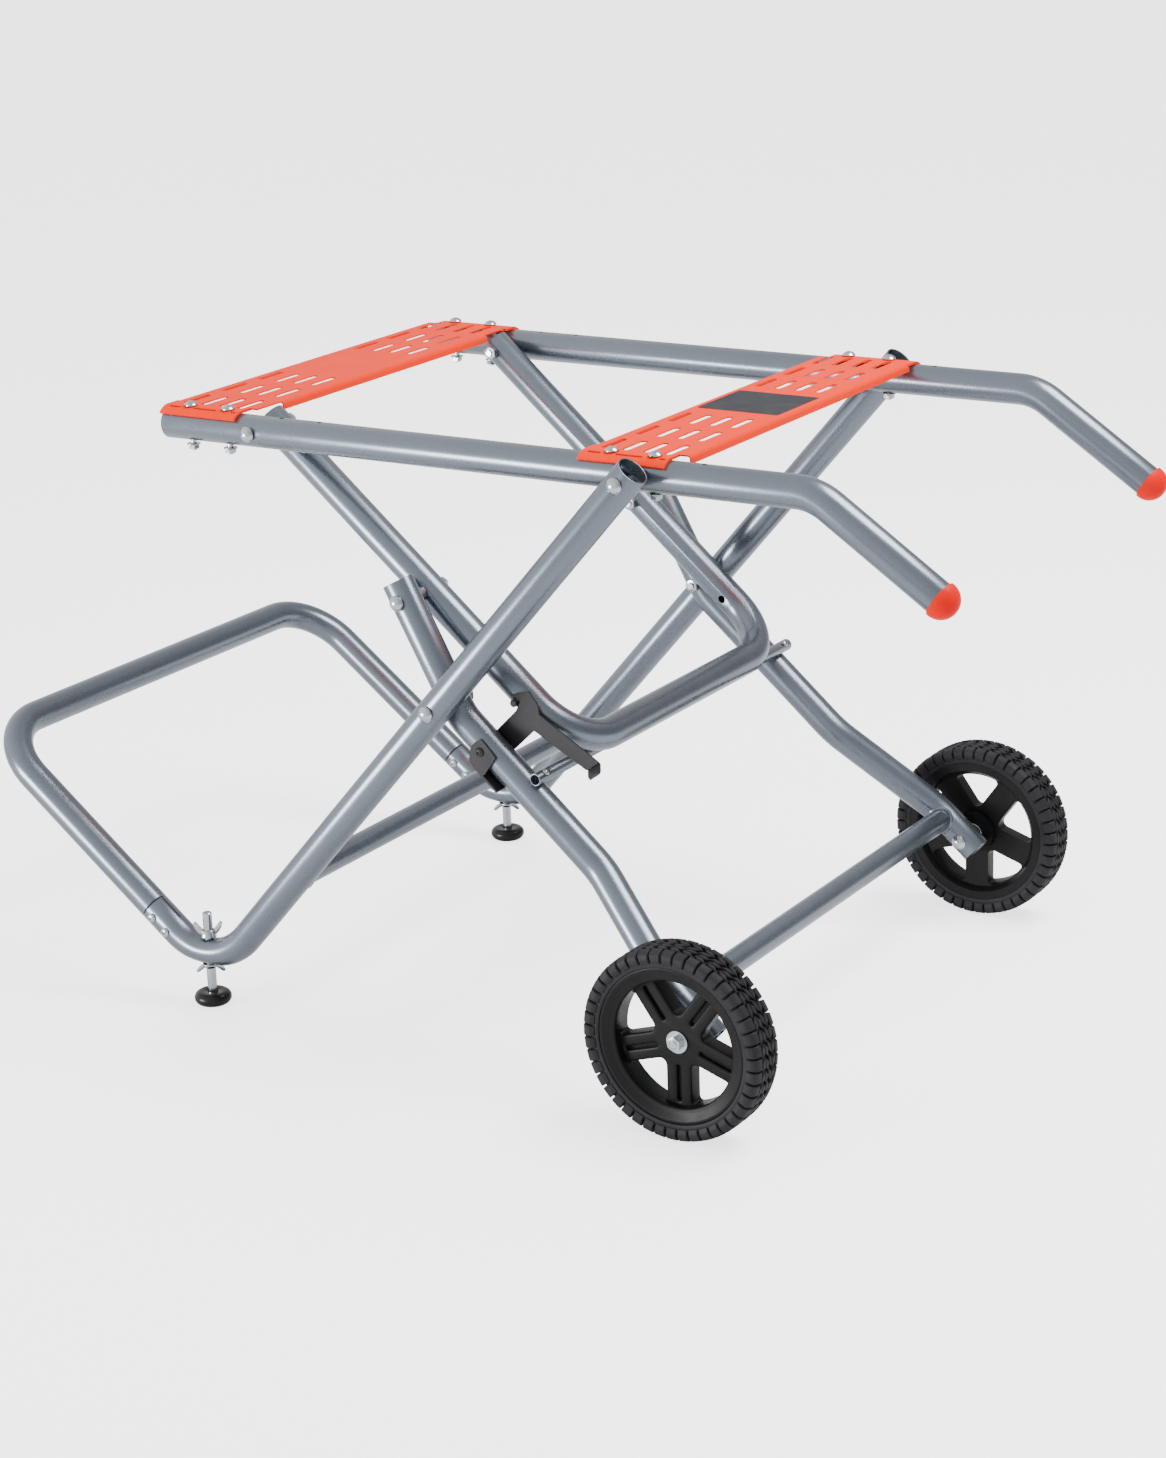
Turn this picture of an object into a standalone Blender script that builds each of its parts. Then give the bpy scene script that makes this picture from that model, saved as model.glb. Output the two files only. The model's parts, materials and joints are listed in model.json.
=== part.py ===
"""Folding miter saw stand: a steel tube frame on two wheels and two levelling feet.

All sizes are in metres. X runs along the top rails towards the carrying handles,
Y across the stand with the left side at -Y, and Z up from the floor.
"""
import math

import bpy
import bmesh
from mathutils import Matrix, Vector

# Fits
FIT = 0.0003                 # gap kept where two pieces touch
HOLE_CLEARANCE = 0.0005      # a hole's radius over the shank in it
OVERRUN = 0.004              # how far a cutter runs past what it cuts
WELD = 0.00001               # points closer than this are one

# Tubes
TUBE_D = 0.032
TUBE_WALL = 0.0015
CROSS_TUBE_D = 0.025
ROD_D = 0.0127
TUBE_R = TUBE_D / 2
CROSS_TUBE_R = CROSS_TUBE_D / 2
ROD_R = ROD_D / 2

# Counts of facets
TUBE_SIDES = 12
ROD_SIDES = 10
SHANK_SIDES = 10
HOLE_SIDES = 8
HEAD_SIDES = 10
WHEEL_SIDES = 32
PAD_SIDES = 16
DOME_STEPS = 2
CAP_DOME_STEPS = 4
PAD_STEPS = 3
BEND_STEP_DEG = 18.0
FOOT_STEP_DEG = 12.0
SMALL_STEP_DEG = 36.0
SHARP_DEG = 40.0
HEAD_EDGE_SHARE = 0.25       # straight edge of a head, of its height

# Top rails
RAIL_HEIGHT = 0.6105         # centre line over the floor
RAIL_HALF_GAUGE = 0.2355     # centre line from the mid plane
RAIL_FREE_END = 0.110        # past the brace pivot
RAIL_TO_HANDLE = 0.6271      # from the brace pivot to the handle bend
HANDLE_LENGTH = 0.1473
HANDLE_DROP_DEG = 34.0
HANDLE_BEND_R = 0.060
RAIL_HOLE_R = 0.0025
RAIL_HOLE_PLACES = (0.032, 0.0786, 0.514)

# Grip caps
CAP_RIM_R = 0.0181
CAP_RIM = 0.002
CAP_PLUG = 0.014

# Outer legs and the base loop they end in
PIVOT_SPAN = 0.4468          # brace pivot to leg pivot along the rail
FOOT_BACK = 0.065            # foot corner behind the brace pivot
FOOT_CORNER_HEIGHT = 0.0336
FOOT_BEND_R = 0.068
FOOT_FLAT = 0.028            # height of the tube where the stud passes
FOOT_FLAT_REACH = 0.030      # how far the flattening runs each way
LEG_TOP_REACH = 0.0155
LEG_GAP = 0.0013             # between rail and leg at their pivot
LEG_SPREAD = 0.0127          # further out at the foot than at the top
LEG_PIVOT_SHARE = 0.42933    # rail pivot to the main pivot, of the leg's length
LOOP_BACK = 0.3518           # loop crossbar behind the brace pivot
LOOP_HEIGHT = 0.2571
LOOP_TAPER = 0.0025
LOOP_CORNER_R = 0.067
SEAM_FROM_FOOT = 0.0995
SPIGOT_LENGTH = 0.034
SPIGOT_CLEARANCE = 0.0004
SPIGOT_SHOULDER = 0.0015
SLIT_LENGTH = 0.030
SLIT_WIDTH = 0.0022
LEG_CROSS_FROM_FOOT = 0.1673
SEAM_SCREW_PLACES = (0.0095, 0.031)   # back from the seam
SEAM_SCREW_FACING = -1       # all four heads face the left side

# Wheel legs
WHEEL_LEG_GAP = 0.00205      # between leg and wheel leg at their pivot
WHEEL_LEG_TOP_REACH = 0.020
KNEE = 0.017                 # pivot to the knee corner
KNEE_BEND_DEG = 20.77
KNEE_BEND_R = 0.060
LOWER_LENGTH = 0.3845        # knee corner to the axle
FLARE_LENGTH = 0.135
FLARE_END_BACK = 0.0429      # from the axle
FLARE_OUT = 0.0458
FLARE_BEND_R = 0.080
AXLE_TAIL = 0.018
WHEEL_CROSS_BACK = 0.032     # from the axle
ROD_PLACE = 0.1002           # from the knee corner
ROD_OVERHANG = 0.0128        # past the wheel legs' centre lines
ROD_WALL = 0.0015

# Brace
BRACE_GAP = 0.001            # between rail and brace at their pivot
BRACE_TOP_REACH = 0.011
BRACE_TAPER = 0.0055
BRACE_CORNER_R = 0.062
SHEAR_GAP = 0.0006           # between the two halves of the loose pivot

# Plates
PLATE_T = 0.0025
PLATE_WIDTH = 0.107
LOOP_END_PLATE_X = -0.0585   # centre, from the brace pivot
HANDLE_END_PLATE_X = 0.438
PLATE_BEND_IN = 0.001        # inside radius of the flange bend
FLANGE_DROP = 0.008
FLANGE_CLEARANCE = 0.0012
APRON_WRAP_DEG = 50.0
APRON_SHORTFALL = 0.013      # the apron stops short of one plate edge
APRON_STEPS = 4
SLOT_LENGTH = 0.040
SLOT_WIDTH = 0.0075
SLOT_COLUMN_PITCH = 0.0228
SLOT_ROW_PITCH = 0.0605
SLOT_OUTER_ROW_IN = 0.029    # from the rail's centre line
SLOT_SHIFT = 0.0045
SLOT_COLUMNS = 4
SLOT_ROWS = 3
SLOT_END_STEPS = 3
RELIEF_WIDTH = 0.0028
RELIEF_OUT = 0.0055          # outboard of the plate bolts
RELIEF_SPANS_SHARES = ((-0.43, -0.30), (-0.15, 0.12), (0.29, 0.35))  # of the plate width
BRACE_NOTCH_DEPTH = 0.0038
BRACE_NOTCH_MARGIN = 0.0025

# Plate bolts
PLATE_BOLT_PITCH = 0.047
PLATE_BOLT_R = 0.003
PLATE_HEAD_R = 0.0068
PLATE_HEAD_H = 0.0048
PLATE_NUT_AF = 0.010
PLATE_NUT_H = 0.0055
PLATE_NUT_FLANGE_R = 0.0070
PLATE_NUT_FLANGE_H = 0.0014
PLATE_BOLT_TAIL = 0.0016
LOOSE_NUT_DROP = 0.0032      # slack left under the rails at the loop end plate

# Pivot bolts
PIVOT_R = 0.004
PIVOT_HEAD_R = 0.008
PIVOT_HEAD_H = 0.006
PIVOT_NUT_AF = 0.013
PIVOT_NUT_H = 0.0065
PIVOT_TAIL = 0.002
COLLAR_R = 0.0075

# Small screws
SEAM_SCREW_R = 0.0025
SEAM_HEAD_R = 0.005
SEAM_HEAD_H = 0.0027
ROD_SCREW_R = 0.002
ROD_HEAD_R = 0.0036
ROD_HEAD_H = 0.0026

# Feet
STUD_R = 0.005
STUD_TOP = 0.101
PAD_R = 0.020
PAD_H = 0.013
PAD_SOLE_R = 0.0165
PAD_SHOULDER_R = 0.0125
PAD_SOCKET_DEPTH = 0.008
WING_BASE_R = 0.0085
WING_NECK_R = 0.0068
WING_BODY_H = 0.008
WING_RISE = 0.0165
WING_SPAN = 0.030
WING_T = 0.0028
LOWER_WING_BODY_H = 0.0045
LOWER_WING_RISE = 0.0095
WING_TURN_DEG = -32.8       # the wings lie square to the view
WING_SHARES = (              # of the half span and of the rise
    (0.50, 0.12), (0.78, 0.45), (1.0, 0.78), (0.97, 1.0), (0.80, 1.0), (0.62, 0.72), (0.42, 0.46))

# Wheels
WHEEL_R = 0.096
WHEEL_W = 0.045
WHEEL_SPACER = 0.0025        # between the wheel leg and the tyre's inner face
RIM_R = 0.078
RIM_LIP_R = 0.0635
RIM_W = 0.037
RIM_DISH = 0.0045
WEB_OUT = 0.0045             # spoke face, outboard of the wheel's middle
WEB_IN = 0.012
HUB_R = 0.0225
HUB_OUT = 0.0045
HUB_IN = 0.0205
SPOKES = 5
SPOKE_HALF_WIDTH = 0.0135
WINDOW_CORNER_R = 0.004
WINDOW_MARGIN = 0.001        # between a window and the rim's lip
WINDOW_ARC_STEPS = 4
RIB_GROOVE_W = 0.0038
RIB_GROOVE_DEPTH = 0.0045
AXLE_R = 0.005
AXLE_THREAD_R = 0.004        # outside the hub, where the nut is
AXLE_HEAD_R = 0.008
AXLE_HEAD_H = 0.0055
AXLE_WASHER_R = 0.0113
AXLE_WASHER_H = 0.0016
AXLE_NUT_AF = 0.013
AXLE_NUT_H = 0.0062
AXLE_TAIL_OUT = 0.0012
TYRE_SHARES = (              # of the way from bead to crown, and of the half width
    (0.0, 0.84), (0.16, 0.90), (0.42, 0.99), (0.72, 1.0), (0.90, 0.82), (0.975, 0.48), (1.0, 0.0))

# Latch
LATCH_PLACE = 0.0413         # along the wheel leg from the knee corner
LATCH_T = 0.0022
LATCH_BOLT_R = 0.003
LATCH_HEAD_R = 0.0048
LATCH_HEAD_H = 0.0026
LATCH_NUT_AF = 0.008
LATCH_NUT_H = 0.003
LATCH_REACH = 0.0905         # pivot to the end of the arm
LATCH_RISE = 0.067           # pivot to the top of the horn
LATCH_SIDE_GAP = 0.0006
LATCH_PEDAL_W = 0.020
LATCH_PIN_R = 0.0038
LATCH_PIN_HEAD_R = 0.006
LATCH_PIN_HEAD_H = 0.003
LATCH_PIN_NUT_AF = 0.0105
LATCH_PIN_NUT_H = 0.0042
LATCH_PIN_OVERHANG = 0.003   # past the hook, so that the horn grips it
LATCH_PIN_BACK = 0.01326     # up the brace from the latch's pivot
LATCH_WEB_SPAN_SHARES = (0.06, 0.43)     # of the reach; past the sides it is the latch's stop
LATCH_SIDE_END_SHARE = 0.19
LATCH_PLATE_SHARES = (       # outline above the web: of the reach and of the rise
    (0.19, -0.04), (0.175, 0.06), (0.215, 0.594), (0.94, 0.812), (0.985, 1.063), (0.142, 0.847),
    (0.053, 0.957), (-0.034, 0.972), (-0.107, 0.993), (-0.134, 0.961), (-0.235, 0.733),
    (-0.112, 0.775), (-0.080, 0.60), (-0.112, 0.078), (-0.125, -0.06), (-0.05, -0.17))
LATCH_EAR_SHARES = (
    (0.20, -0.20), (0.176, 0.143), (-0.085, 0.175), (-0.11, 0.07), (-0.118, -0.051), (-0.034, -0.246))
LATCH_PEDAL_SHARES = ((0.94, 0.812), (0.985, 1.063))     # the arm's end, which folds outwards

# Finishes: base colour, roughness, metallic
GREY_PAINT = ((0.25, 0.28, 0.32), 0.38, 0.55)
ORANGE_PAINT = ((0.88, 0.20, 0.08), 0.42, 0.0)
RED_PLASTIC = ((0.82, 0.06, 0.03), 0.35, 0.0)
ZINC = ((0.72, 0.74, 0.76), 0.28, 1.0)
BLACK_STEEL = ((0.05, 0.05, 0.055), 0.45, 0.3)
BLACK_RUBBER = ((0.02, 0.02, 0.02), 0.75, 0.0)
BLACK_PLASTIC = ((0.03, 0.03, 0.03), 0.5, 0.0)

LEFT, RIGHT = -1, 1
SIDE_NAMES = {LEFT: "left", RIGHT: "right"}
ALONG = Vector((1, 0, 0))
ACROSS = Vector((0, 1, 0))
UP = Vector((0, 0, 1))


def turned_vector(degrees):
    """Unit vector in the side plane, at an angle from +X towards +Z."""
    angle = math.radians(degrees)
    return Vector((math.cos(angle), 0, math.sin(angle)))


def angle_of(vector):
    """Angle in degrees of a vector in the side plane."""
    return math.degrees(math.atan2(vector.z, vector.x))


def crossing(start, direction, other, other_direction):
    """Where two lines in the side plane meet."""
    gap = other - start
    area = direction.x * other_direction.z - direction.z * other_direction.x
    reach = (gap.x * other_direction.z - gap.z * other_direction.x) / area
    return start + direction * reach


# Side view of the linkage, with the brace pivot over X = 0
BRACE_PIVOT = Vector((0, 0, RAIL_HEIGHT))
RAIL_PIVOT = BRACE_PIVOT + Vector((PIVOT_SPAN, 0, 0))
FOOT_CORNER = Vector((-FOOT_BACK, 0, FOOT_CORNER_HEIGHT))
LOOP_CORNER = Vector((-LOOP_BACK, 0, LOOP_HEIGHT))
LEG_DIR = (FOOT_CORNER - RAIL_PIVOT).normalized()
SIDE_DIR = (LOOP_CORNER - FOOT_CORNER).normalized()
LEG_LENGTH = (FOOT_CORNER - RAIL_PIVOT).length
MAIN_PIVOT = RAIL_PIVOT + LEG_DIR * (LEG_LENGTH * LEG_PIVOT_SHARE)

# The wheel leg is turned about the main pivot until its wheel stands on the floor
KNEE_TURN = math.radians(KNEE_BEND_DEG)
PIVOT_TO_AXLE = math.sqrt(KNEE ** 2 + LOWER_LENGTH ** 2 + 2 * KNEE * LOWER_LENGTH * math.cos(KNEE_TURN))
AXLE_FALL_DEG = math.degrees(math.asin((MAIN_PIVOT.z - WHEEL_R) / PIVOT_TO_AXLE))
KNEE_INSIDE_DEG = math.degrees(math.asin(LOWER_LENGTH * math.sin(KNEE_TURN) / PIVOT_TO_AXLE))
UPPER_DIR = turned_vector(-AXLE_FALL_DEG - KNEE_INSIDE_DEG)
KNEE_CORNER = MAIN_PIVOT + UPPER_DIR * KNEE
LOWER_DIR = turned_vector(angle_of(UPPER_DIR) + KNEE_BEND_DEG)
LOWER_UP = turned_vector(angle_of(LOWER_DIR) + 90)
AXLE = KNEE_CORNER + LOWER_DIR * LOWER_LENGTH
LATCH_PIVOT = KNEE_CORNER + LOWER_DIR * LATCH_PLACE

# The stop rod lies on the wheel legs, and the brace rests on the rod
REST = TUBE_R + ROD_R + FIT
ROD = KNEE_CORNER + LOWER_DIR * ROD_PLACE + LOWER_UP * REST
TO_ROD = ROD - BRACE_PIVOT
BRACE_DIR = turned_vector(angle_of(TO_ROD) + math.degrees(math.asin(REST / TO_ROD.length)))
BRACE_LENGTH = math.sqrt(TO_ROD.length ** 2 - REST ** 2)
CROSSBAR = BRACE_PIVOT + BRACE_DIR * BRACE_LENGTH
LOOSE_PIVOT = crossing(BRACE_PIVOT, BRACE_DIR, MAIN_PIVOT, UPPER_DIR)
PIN_SPOT = LOOSE_PIVOT + BRACE_DIR * ((LATCH_PIVOT - LOOSE_PIVOT).dot(BRACE_DIR) - LATCH_PIN_BACK)

# Distances of the tube centre lines from the mid plane
LEG_HALF = RAIL_HALF_GAUGE + TUBE_D + LEG_GAP
LEG_SLOPE = LEG_SPREAD / LEG_LENGTH
FOOT_HALF = LEG_HALF + LEG_SPREAD
LOOP_HALF = FOOT_HALF - LOOP_TAPER
MAIN_PIVOT_HALF = LEG_HALF + LEG_SPREAD * LEG_PIVOT_SHARE
WHEEL_LEG_HALF = MAIN_PIVOT_HALF - TUBE_D - WHEEL_LEG_GAP
FLARED_HALF = WHEEL_LEG_HALF + FLARE_OUT
WHEEL_HALF = FLARED_HALF + TUBE_R + WHEEL_SPACER + WHEEL_W / 2
BRACE_HALF = RAIL_HALF_GAUGE - TUBE_D - BRACE_GAP
CROSSBAR_HALF = BRACE_HALF - BRACE_TAPER
LOOSE_PIVOT_HALF = BRACE_HALF - BRACE_TAPER * (LOOSE_PIVOT - BRACE_PIVOT).length / BRACE_LENGTH
PIN_HALF = BRACE_HALF - BRACE_TAPER * (PIN_SPOT - BRACE_PIVOT).length / BRACE_LENGTH
LATCH_PLATE_HALF = WHEEL_LEG_HALF - TUBE_R - LATCH_SIDE_GAP - LATCH_T
OUTER_ROW_HALF = RAIL_HALF_GAUGE - SLOT_OUTER_ROW_IN

# The foot bend, and the seats of the wing nuts on its flattened tube
FOOT_HALF_TURN = (-LEG_DIR).angle(SIDE_DIR) / 2
FOOT_BOTTOM = (FOOT_CORNER + (SIDE_DIR - LEG_DIR).normalized() * (FOOT_BEND_R / math.sin(FOOT_HALF_TURN))
               - UP * FOOT_BEND_R)
FOOT_PAD_HALF = FOOT_HALF - LEG_SLOPE * (FOOT_BOTTOM - FOOT_CORNER).length / 2
FOOT_INNER_R = FOOT_BEND_R - FOOT_FLAT / 2
SEAT_RISE = FOOT_INNER_R - math.sqrt(FOOT_INNER_R ** 2 - WING_BASE_R ** 2)
FACET_RISE = FOOT_INNER_R * (1 - math.cos(math.radians(FOOT_STEP_DEG / 2)))
UPPER_WING_SEAT = FOOT_BOTTOM.z + FOOT_FLAT / 2 + SEAT_RISE + FACET_RISE + FIT
LOWER_WING_SEAT = FOOT_BOTTOM.z - FOOT_FLAT / 2 - FIT

# Handles and the overall length, whose middle is the part's origin
HANDLE_DIR = turned_vector(-HANDLE_DROP_DEG)
HANDLE_CORNER = BRACE_PIVOT + Vector((RAIL_TO_HANDLE, 0, 0))
HANDLE_END = HANDLE_CORNER + HANDLE_DIR * HANDLE_LENGTH
FRONT_REACH = (HANDLE_END + HANDLE_DIR * CAP_RIM).x + CAP_RIM_R
BACK_REACH = LOOP_CORNER.x - TUBE_R
MIDDLE = Vector(((FRONT_REACH + BACK_REACH) / 2, 0, 0))

# Plates on the rails
PLATE_UNDER = RAIL_HEIGHT + TUBE_R + FIT
PLATE_TOP = PLATE_UNDER + PLATE_T
FLANGE_FOOT = PLATE_TOP - FLANGE_DROP
FLANGE_HALF = (RAIL_HALF_GAUGE - FLANGE_CLEARANCE
               - math.sqrt((TUBE_R + FIT) ** 2 - (FLANGE_FOOT - RAIL_HEIGHT) ** 2))


def spot(place, half=0.0):
    """A point of the side view in the part's own frame, at a distance across."""
    return place - MIDDLE + ACROSS * half


def make_collection(name):
    collection = bpy.data.collections.new(name)
    bpy.context.scene.collection.children.link(collection)
    return collection


for old in list(bpy.data.objects):
    bpy.data.objects.remove(old, do_unlink=True)
PARTS = make_collection("miter_saw_stand")
TOOLS = make_collection("cutters")


def keep_in(item, collection):
    for owner in list(item.users_collection):
        owner.objects.unlink(item)
    collection.objects.link(item)


def as_tool(item):
    """Mark an object as a cutter or a guide until it becomes a part."""
    keep_in(item, TOOLS)
    item.hide_render = True
    item.display_type = "WIRE"
    return item


def new_object(name, data):
    item = bpy.data.objects.new(name, data)
    bpy.context.scene.collection.objects.link(item)
    return as_tool(item)


def settled(item):
    """Replace an object by the mesh that its curve or modifiers make."""
    depsgraph = bpy.context.evaluated_depsgraph_get()
    mesh = bpy.data.meshes.new_from_object(item.evaluated_get(depsgraph))
    work = bmesh.new()
    work.from_mesh(mesh)
    bmesh.ops.remove_doubles(work, verts=work.verts, dist=WELD)
    work.to_mesh(mesh)
    work.free()
    solid = new_object(item.name + "_solid", mesh)
    solid.matrix_world = item.matrix_world
    bpy.data.objects.remove(item, do_unlink=True)
    return solid


def boolean(item, tools, operation):
    for tool in tools:
        step = item.modifiers.new(operation.lower(), "BOOLEAN")
        step.operation = operation
        step.object = tool
    solid = settled(item)
    for tool in tools:
        bpy.data.objects.remove(tool, do_unlink=True)
    return solid


def cut(item, *tools):
    return boolean(item, tools, "DIFFERENCE")


def fused(item, *others):
    return boolean(item, others, "UNION")


def make_material(name, finish):
    colour, roughness, metallic = finish
    material = bpy.data.materials.new(name)
    material.use_nodes = True
    shader = material.node_tree.nodes["Principled BSDF"]
    shader.inputs["Base Color"].default_value = (*colour, 1)
    shader.inputs["Roughness"].default_value = roughness
    shader.inputs["Metallic"].default_value = metallic
    return material


def make_part(name, item, finish, axis=None):
    """Finish an object as a named piece, hung on the empty of its joint if it has one."""
    item.name = name
    item.data.name = name
    keep_in(item, PARTS)
    item.hide_render = False
    item.display_type = "TEXTURED"
    item.data.materials.clear()
    item.data.materials.append(make_material(name + "_finish", finish))
    item.data.shade_smooth()
    item.data.set_sharp_from_angle(angle=math.radians(SHARP_DEG))
    if axis is not None:
        item.parent = axis
        item.matrix_parent_inverse = axis.matrix_world.inverted()


def make_axis(name, place, half=0.0, parent=None):
    """An empty on a joint's axis, which its moving pieces hang on."""
    empty = bpy.data.objects.new(name, None)
    PARTS.objects.link(empty)
    empty.location = spot(place, half)
    bpy.context.view_layer.update()
    if parent is not None:
        empty.parent = parent
        empty.matrix_parent_inverse = parent.matrix_world.inverted()
        bpy.context.view_layer.update()
    return empty


def put(item, place, z_axis, y_axis=None):
    """Stand an object at a place with its local Z, and if given its local Y, along directions."""
    if y_axis is None:
        item.rotation_euler = z_axis.to_track_quat("Z", "Y").to_euler()
    else:
        item.rotation_euler = Matrix((y_axis.cross(z_axis), y_axis, z_axis)).transposed().to_euler()
    item.location = place
    bpy.context.view_layer.update()
    return item


def copy_of(item):
    twin = new_object(item.name + "_copy", item.data.copy())
    twin.matrix_world = item.matrix_world
    return twin


def cylinder(radius, start, end, sides=HOLE_SIDES):
    bpy.ops.mesh.primitive_cylinder_add(vertices=sides, radius=radius, depth=(end - start).length)
    item = put(as_tool(bpy.context.object), (start + end) / 2, (end - start).normalized())
    item.data.transform(item.matrix_world)
    item.matrix_world = Matrix.Identity(4)
    return item


def box(size, centre, z_axis=UP, y_axis=ACROSS):
    bpy.ops.mesh.primitive_cube_add(size=1)
    item = as_tool(bpy.context.object)
    item.data.transform(Matrix.Diagonal((*size, 1)))
    return put(item, centre, z_axis, y_axis)


def turned(profile, steps=HEAD_SIDES, closed=False):
    """Turn a profile of radius and height about local Z; it runs down the outer side."""
    count = len(profile)
    edges = [(i, (i + 1) % count) for i in range(count if closed else count - 1)]
    mesh = bpy.data.meshes.new("profile")
    mesh.from_pydata([(radius, 0, height) for radius, height in profile], edges, [])
    item = new_object("turned", mesh)
    screw = item.modifiers.new("screw", "SCREW")
    screw.steps = steps
    screw.render_steps = steps
    screw.use_merge_vertices = True
    screw.merge_threshold = WELD
    return settled(item)


def rounded(points, radii, step_deg=BEND_STEP_DEG):
    """Points of a path whose corners between its ends are rounded to the given radii."""
    path = [points[0]]
    for before, corner, after, radius in zip(points, points[1:], points[2:], radii):
        back = (before - corner).normalized()
        ahead = (after - corner).normalized()
        half = back.angle(ahead) / 2
        centre = corner + (back + ahead).normalized() * (radius / math.sin(half))
        start = corner + back * (radius / math.tan(half)) - centre
        end = corner + ahead * (radius / math.tan(half)) - centre
        turn = start.angle(end)
        steps = max(2, math.ceil(math.degrees(turn) / step_deg))
        for step in range(steps + 1):
            share = step / steps
            arm = start * math.sin((1 - share) * turn) + end * math.sin(share * turn)
            path.append(centre + arm / math.sin(turn))
    return path + [points[-1]]


def bar(path, diameter, sides=TUBE_SIDES, scales=None, capped=True):
    """A round bar, or an open tube surface, along a path."""
    curve = bpy.data.curves.new("line", "CURVE")
    curve.dimensions = "3D"
    spline = curve.splines.new("POLY")
    spline.points.add(len(path) - 1)
    for index, place in enumerate(path):
        spline.points[index].co = (*place, 1)
        spline.points[index].radius = scales[index] if scales else 1
    curve.bevel_depth = diameter / 2
    curve.bevel_resolution = sides // 2 - 2
    curve.use_fill_caps = capped
    return settled(new_object("bar", curve))


def tube(path, diameter, wall, sides=TUBE_SIDES, scales=None):
    """A tube with open ends along a path."""
    item = bar(path, diameter, sides, scales, capped=False)
    shell = item.modifiers.new("wall", "SOLIDIFY")
    shell.thickness = wall
    shell.offset = -1
    shell.use_even_offset = True
    return settled(item)


def outlines(shapes, thickness):
    """Flat plates in the local XY plane, centred on it, from one list of points each."""
    curve = bpy.data.curves.new("outline", "CURVE")
    curve.dimensions = "2D"
    curve.fill_mode = "BOTH"
    curve.extrude = thickness / 2
    for points in shapes:
        spline = curve.splines.new("POLY")
        spline.points.add(len(points) - 1)
        for index, point in enumerate(points):
            spline.points[index].co = (point[0], point[1], 0, 1)
        spline.use_cyclic_u = True
    return settled(new_object("outline", curve))


def side_plate(points, near, far):
    """A plate from points of the side view, between two distances across."""
    plate = outlines([[(point.x, point.z) for point in points]], abs(far - near))
    return put(plate, ACROSS * (near + far) / 2, -ACROSS, UP)


def across_plate(points, start, end):
    """A plate from points of distance across and height, between two places along X."""
    return put(outlines([points], abs(end - start)), ALONG * (start + end) / 2, ALONG, UP)


def across_hole(radius, place, half):
    """A cutter across a tube whose centre line is a distance from the mid plane."""
    reach = TUBE_R + OVERRUN
    return cylinder(radius + HOLE_CLEARANCE, spot(place, half - reach), spot(place, half + reach))


def dome(radius, height, lift=0.0, steps=DOME_STEPS):
    """Profile of a domed head from its crown to its rim, on a straight edge of the given lift."""
    crown = (radius ** 2 + height ** 2) / (2 * height)
    spread = math.acos((crown - height) / crown)
    profile = [(0, lift + height)]
    for step in range(1, steps):
        angle = spread * step / steps
        profile.append((crown * math.sin(angle), lift + height - crown * (1 - math.cos(angle))))
    return profile + [(radius, lift)]


def head(radius, height):
    """Profile of a bolt head whose underside is at height zero."""
    edge = height * HEAD_EDGE_SHARE
    return dome(radius, height - edge, edge) + [(radius, 0)]


def hexagon(across_flats, bottom, top):
    return cylinder(across_flats / math.sqrt(3), UP * bottom, UP * top, sides=6)


def bolt(head_size, shank_r, grip, nut_size, tail, flange=None):
    """A bolt with its nut on: local Z = 0 under the head, the nut's seat at a grip below it."""
    nut_af, nut_h = nut_size
    end = -grip - nut_h - tail
    profile = head(*head_size) + [(shank_r, 0)]
    if flange:
        flange_r, flange_h = flange
        profile += [(shank_r, -grip), (flange_r, -grip), (flange_r, -grip - flange_h),
                    (shank_r, -grip - flange_h)]
    body = turned(profile + [(shank_r, end), (0, end)])
    seat = grip + (flange[1] / 2 if flange else 0)
    return fused(body, hexagon(nut_af, -grip - nut_h, -seat))


def leg_half(distance):
    """A leg's distance from the mid plane, at a distance down it from the rail pivot."""
    return LEG_HALF + LEG_SLOPE * distance


def leg_corners(side):
    top = spot(RAIL_PIVOT - LEG_DIR * LEG_TOP_REACH, side * leg_half(-LEG_TOP_REACH))
    return top, spot(FOOT_CORNER, side * FOOT_HALF), spot(LOOP_CORNER, side * LOOP_HALF)


def seam_of(side):
    """Where a leg meets the loop, and the direction of the tube there."""
    top, foot, loop = leg_corners(side)
    run = (loop - foot).normalized()
    return foot + run * SEAM_FROM_FOOT, run


def leg_path(side):
    top, foot, loop = leg_corners(side)
    return rounded([top, foot, seam_of(side)[0]], [FOOT_BEND_R], FOOT_STEP_DEG)


def seam_screw_holes(side):
    seam, run = seam_of(side)
    outward = ACROSS * SEAM_SCREW_FACING * (TUBE_R + OVERRUN)
    places = [seam - run * back for back in SEAM_SCREW_PLACES]
    return [cylinder(SEAM_SCREW_R + HOLE_CLEARANCE, place, place + outward) for place in places]


def flatten_foot(item):
    """Squeeze the tube around the stud towards its centre line, as the real bend is."""
    centre = spot(FOOT_BOTTOM + UP * FOOT_BEND_R)
    for vertex in item.data.vertices:
        arm = Vector((vertex.co.x - centre.x, 0, vertex.co.z - centre.z))
        distance = abs(arm.x) * FOOT_BEND_R / arm.length
        if arm.z > 0 or distance > FOOT_FLAT_REACH or arm.length > FOOT_BEND_R + TUBE_D:
            continue
        weight = 1 - (distance / FOOT_FLAT_REACH) ** 2
        squeeze = 1 - (1 - FOOT_FLAT / TUBE_D) * weight
        target = FOOT_BEND_R + (arm.length - FOOT_BEND_R) * squeeze
        vertex.co += arm.normalized() * (target - arm.length)


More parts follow.
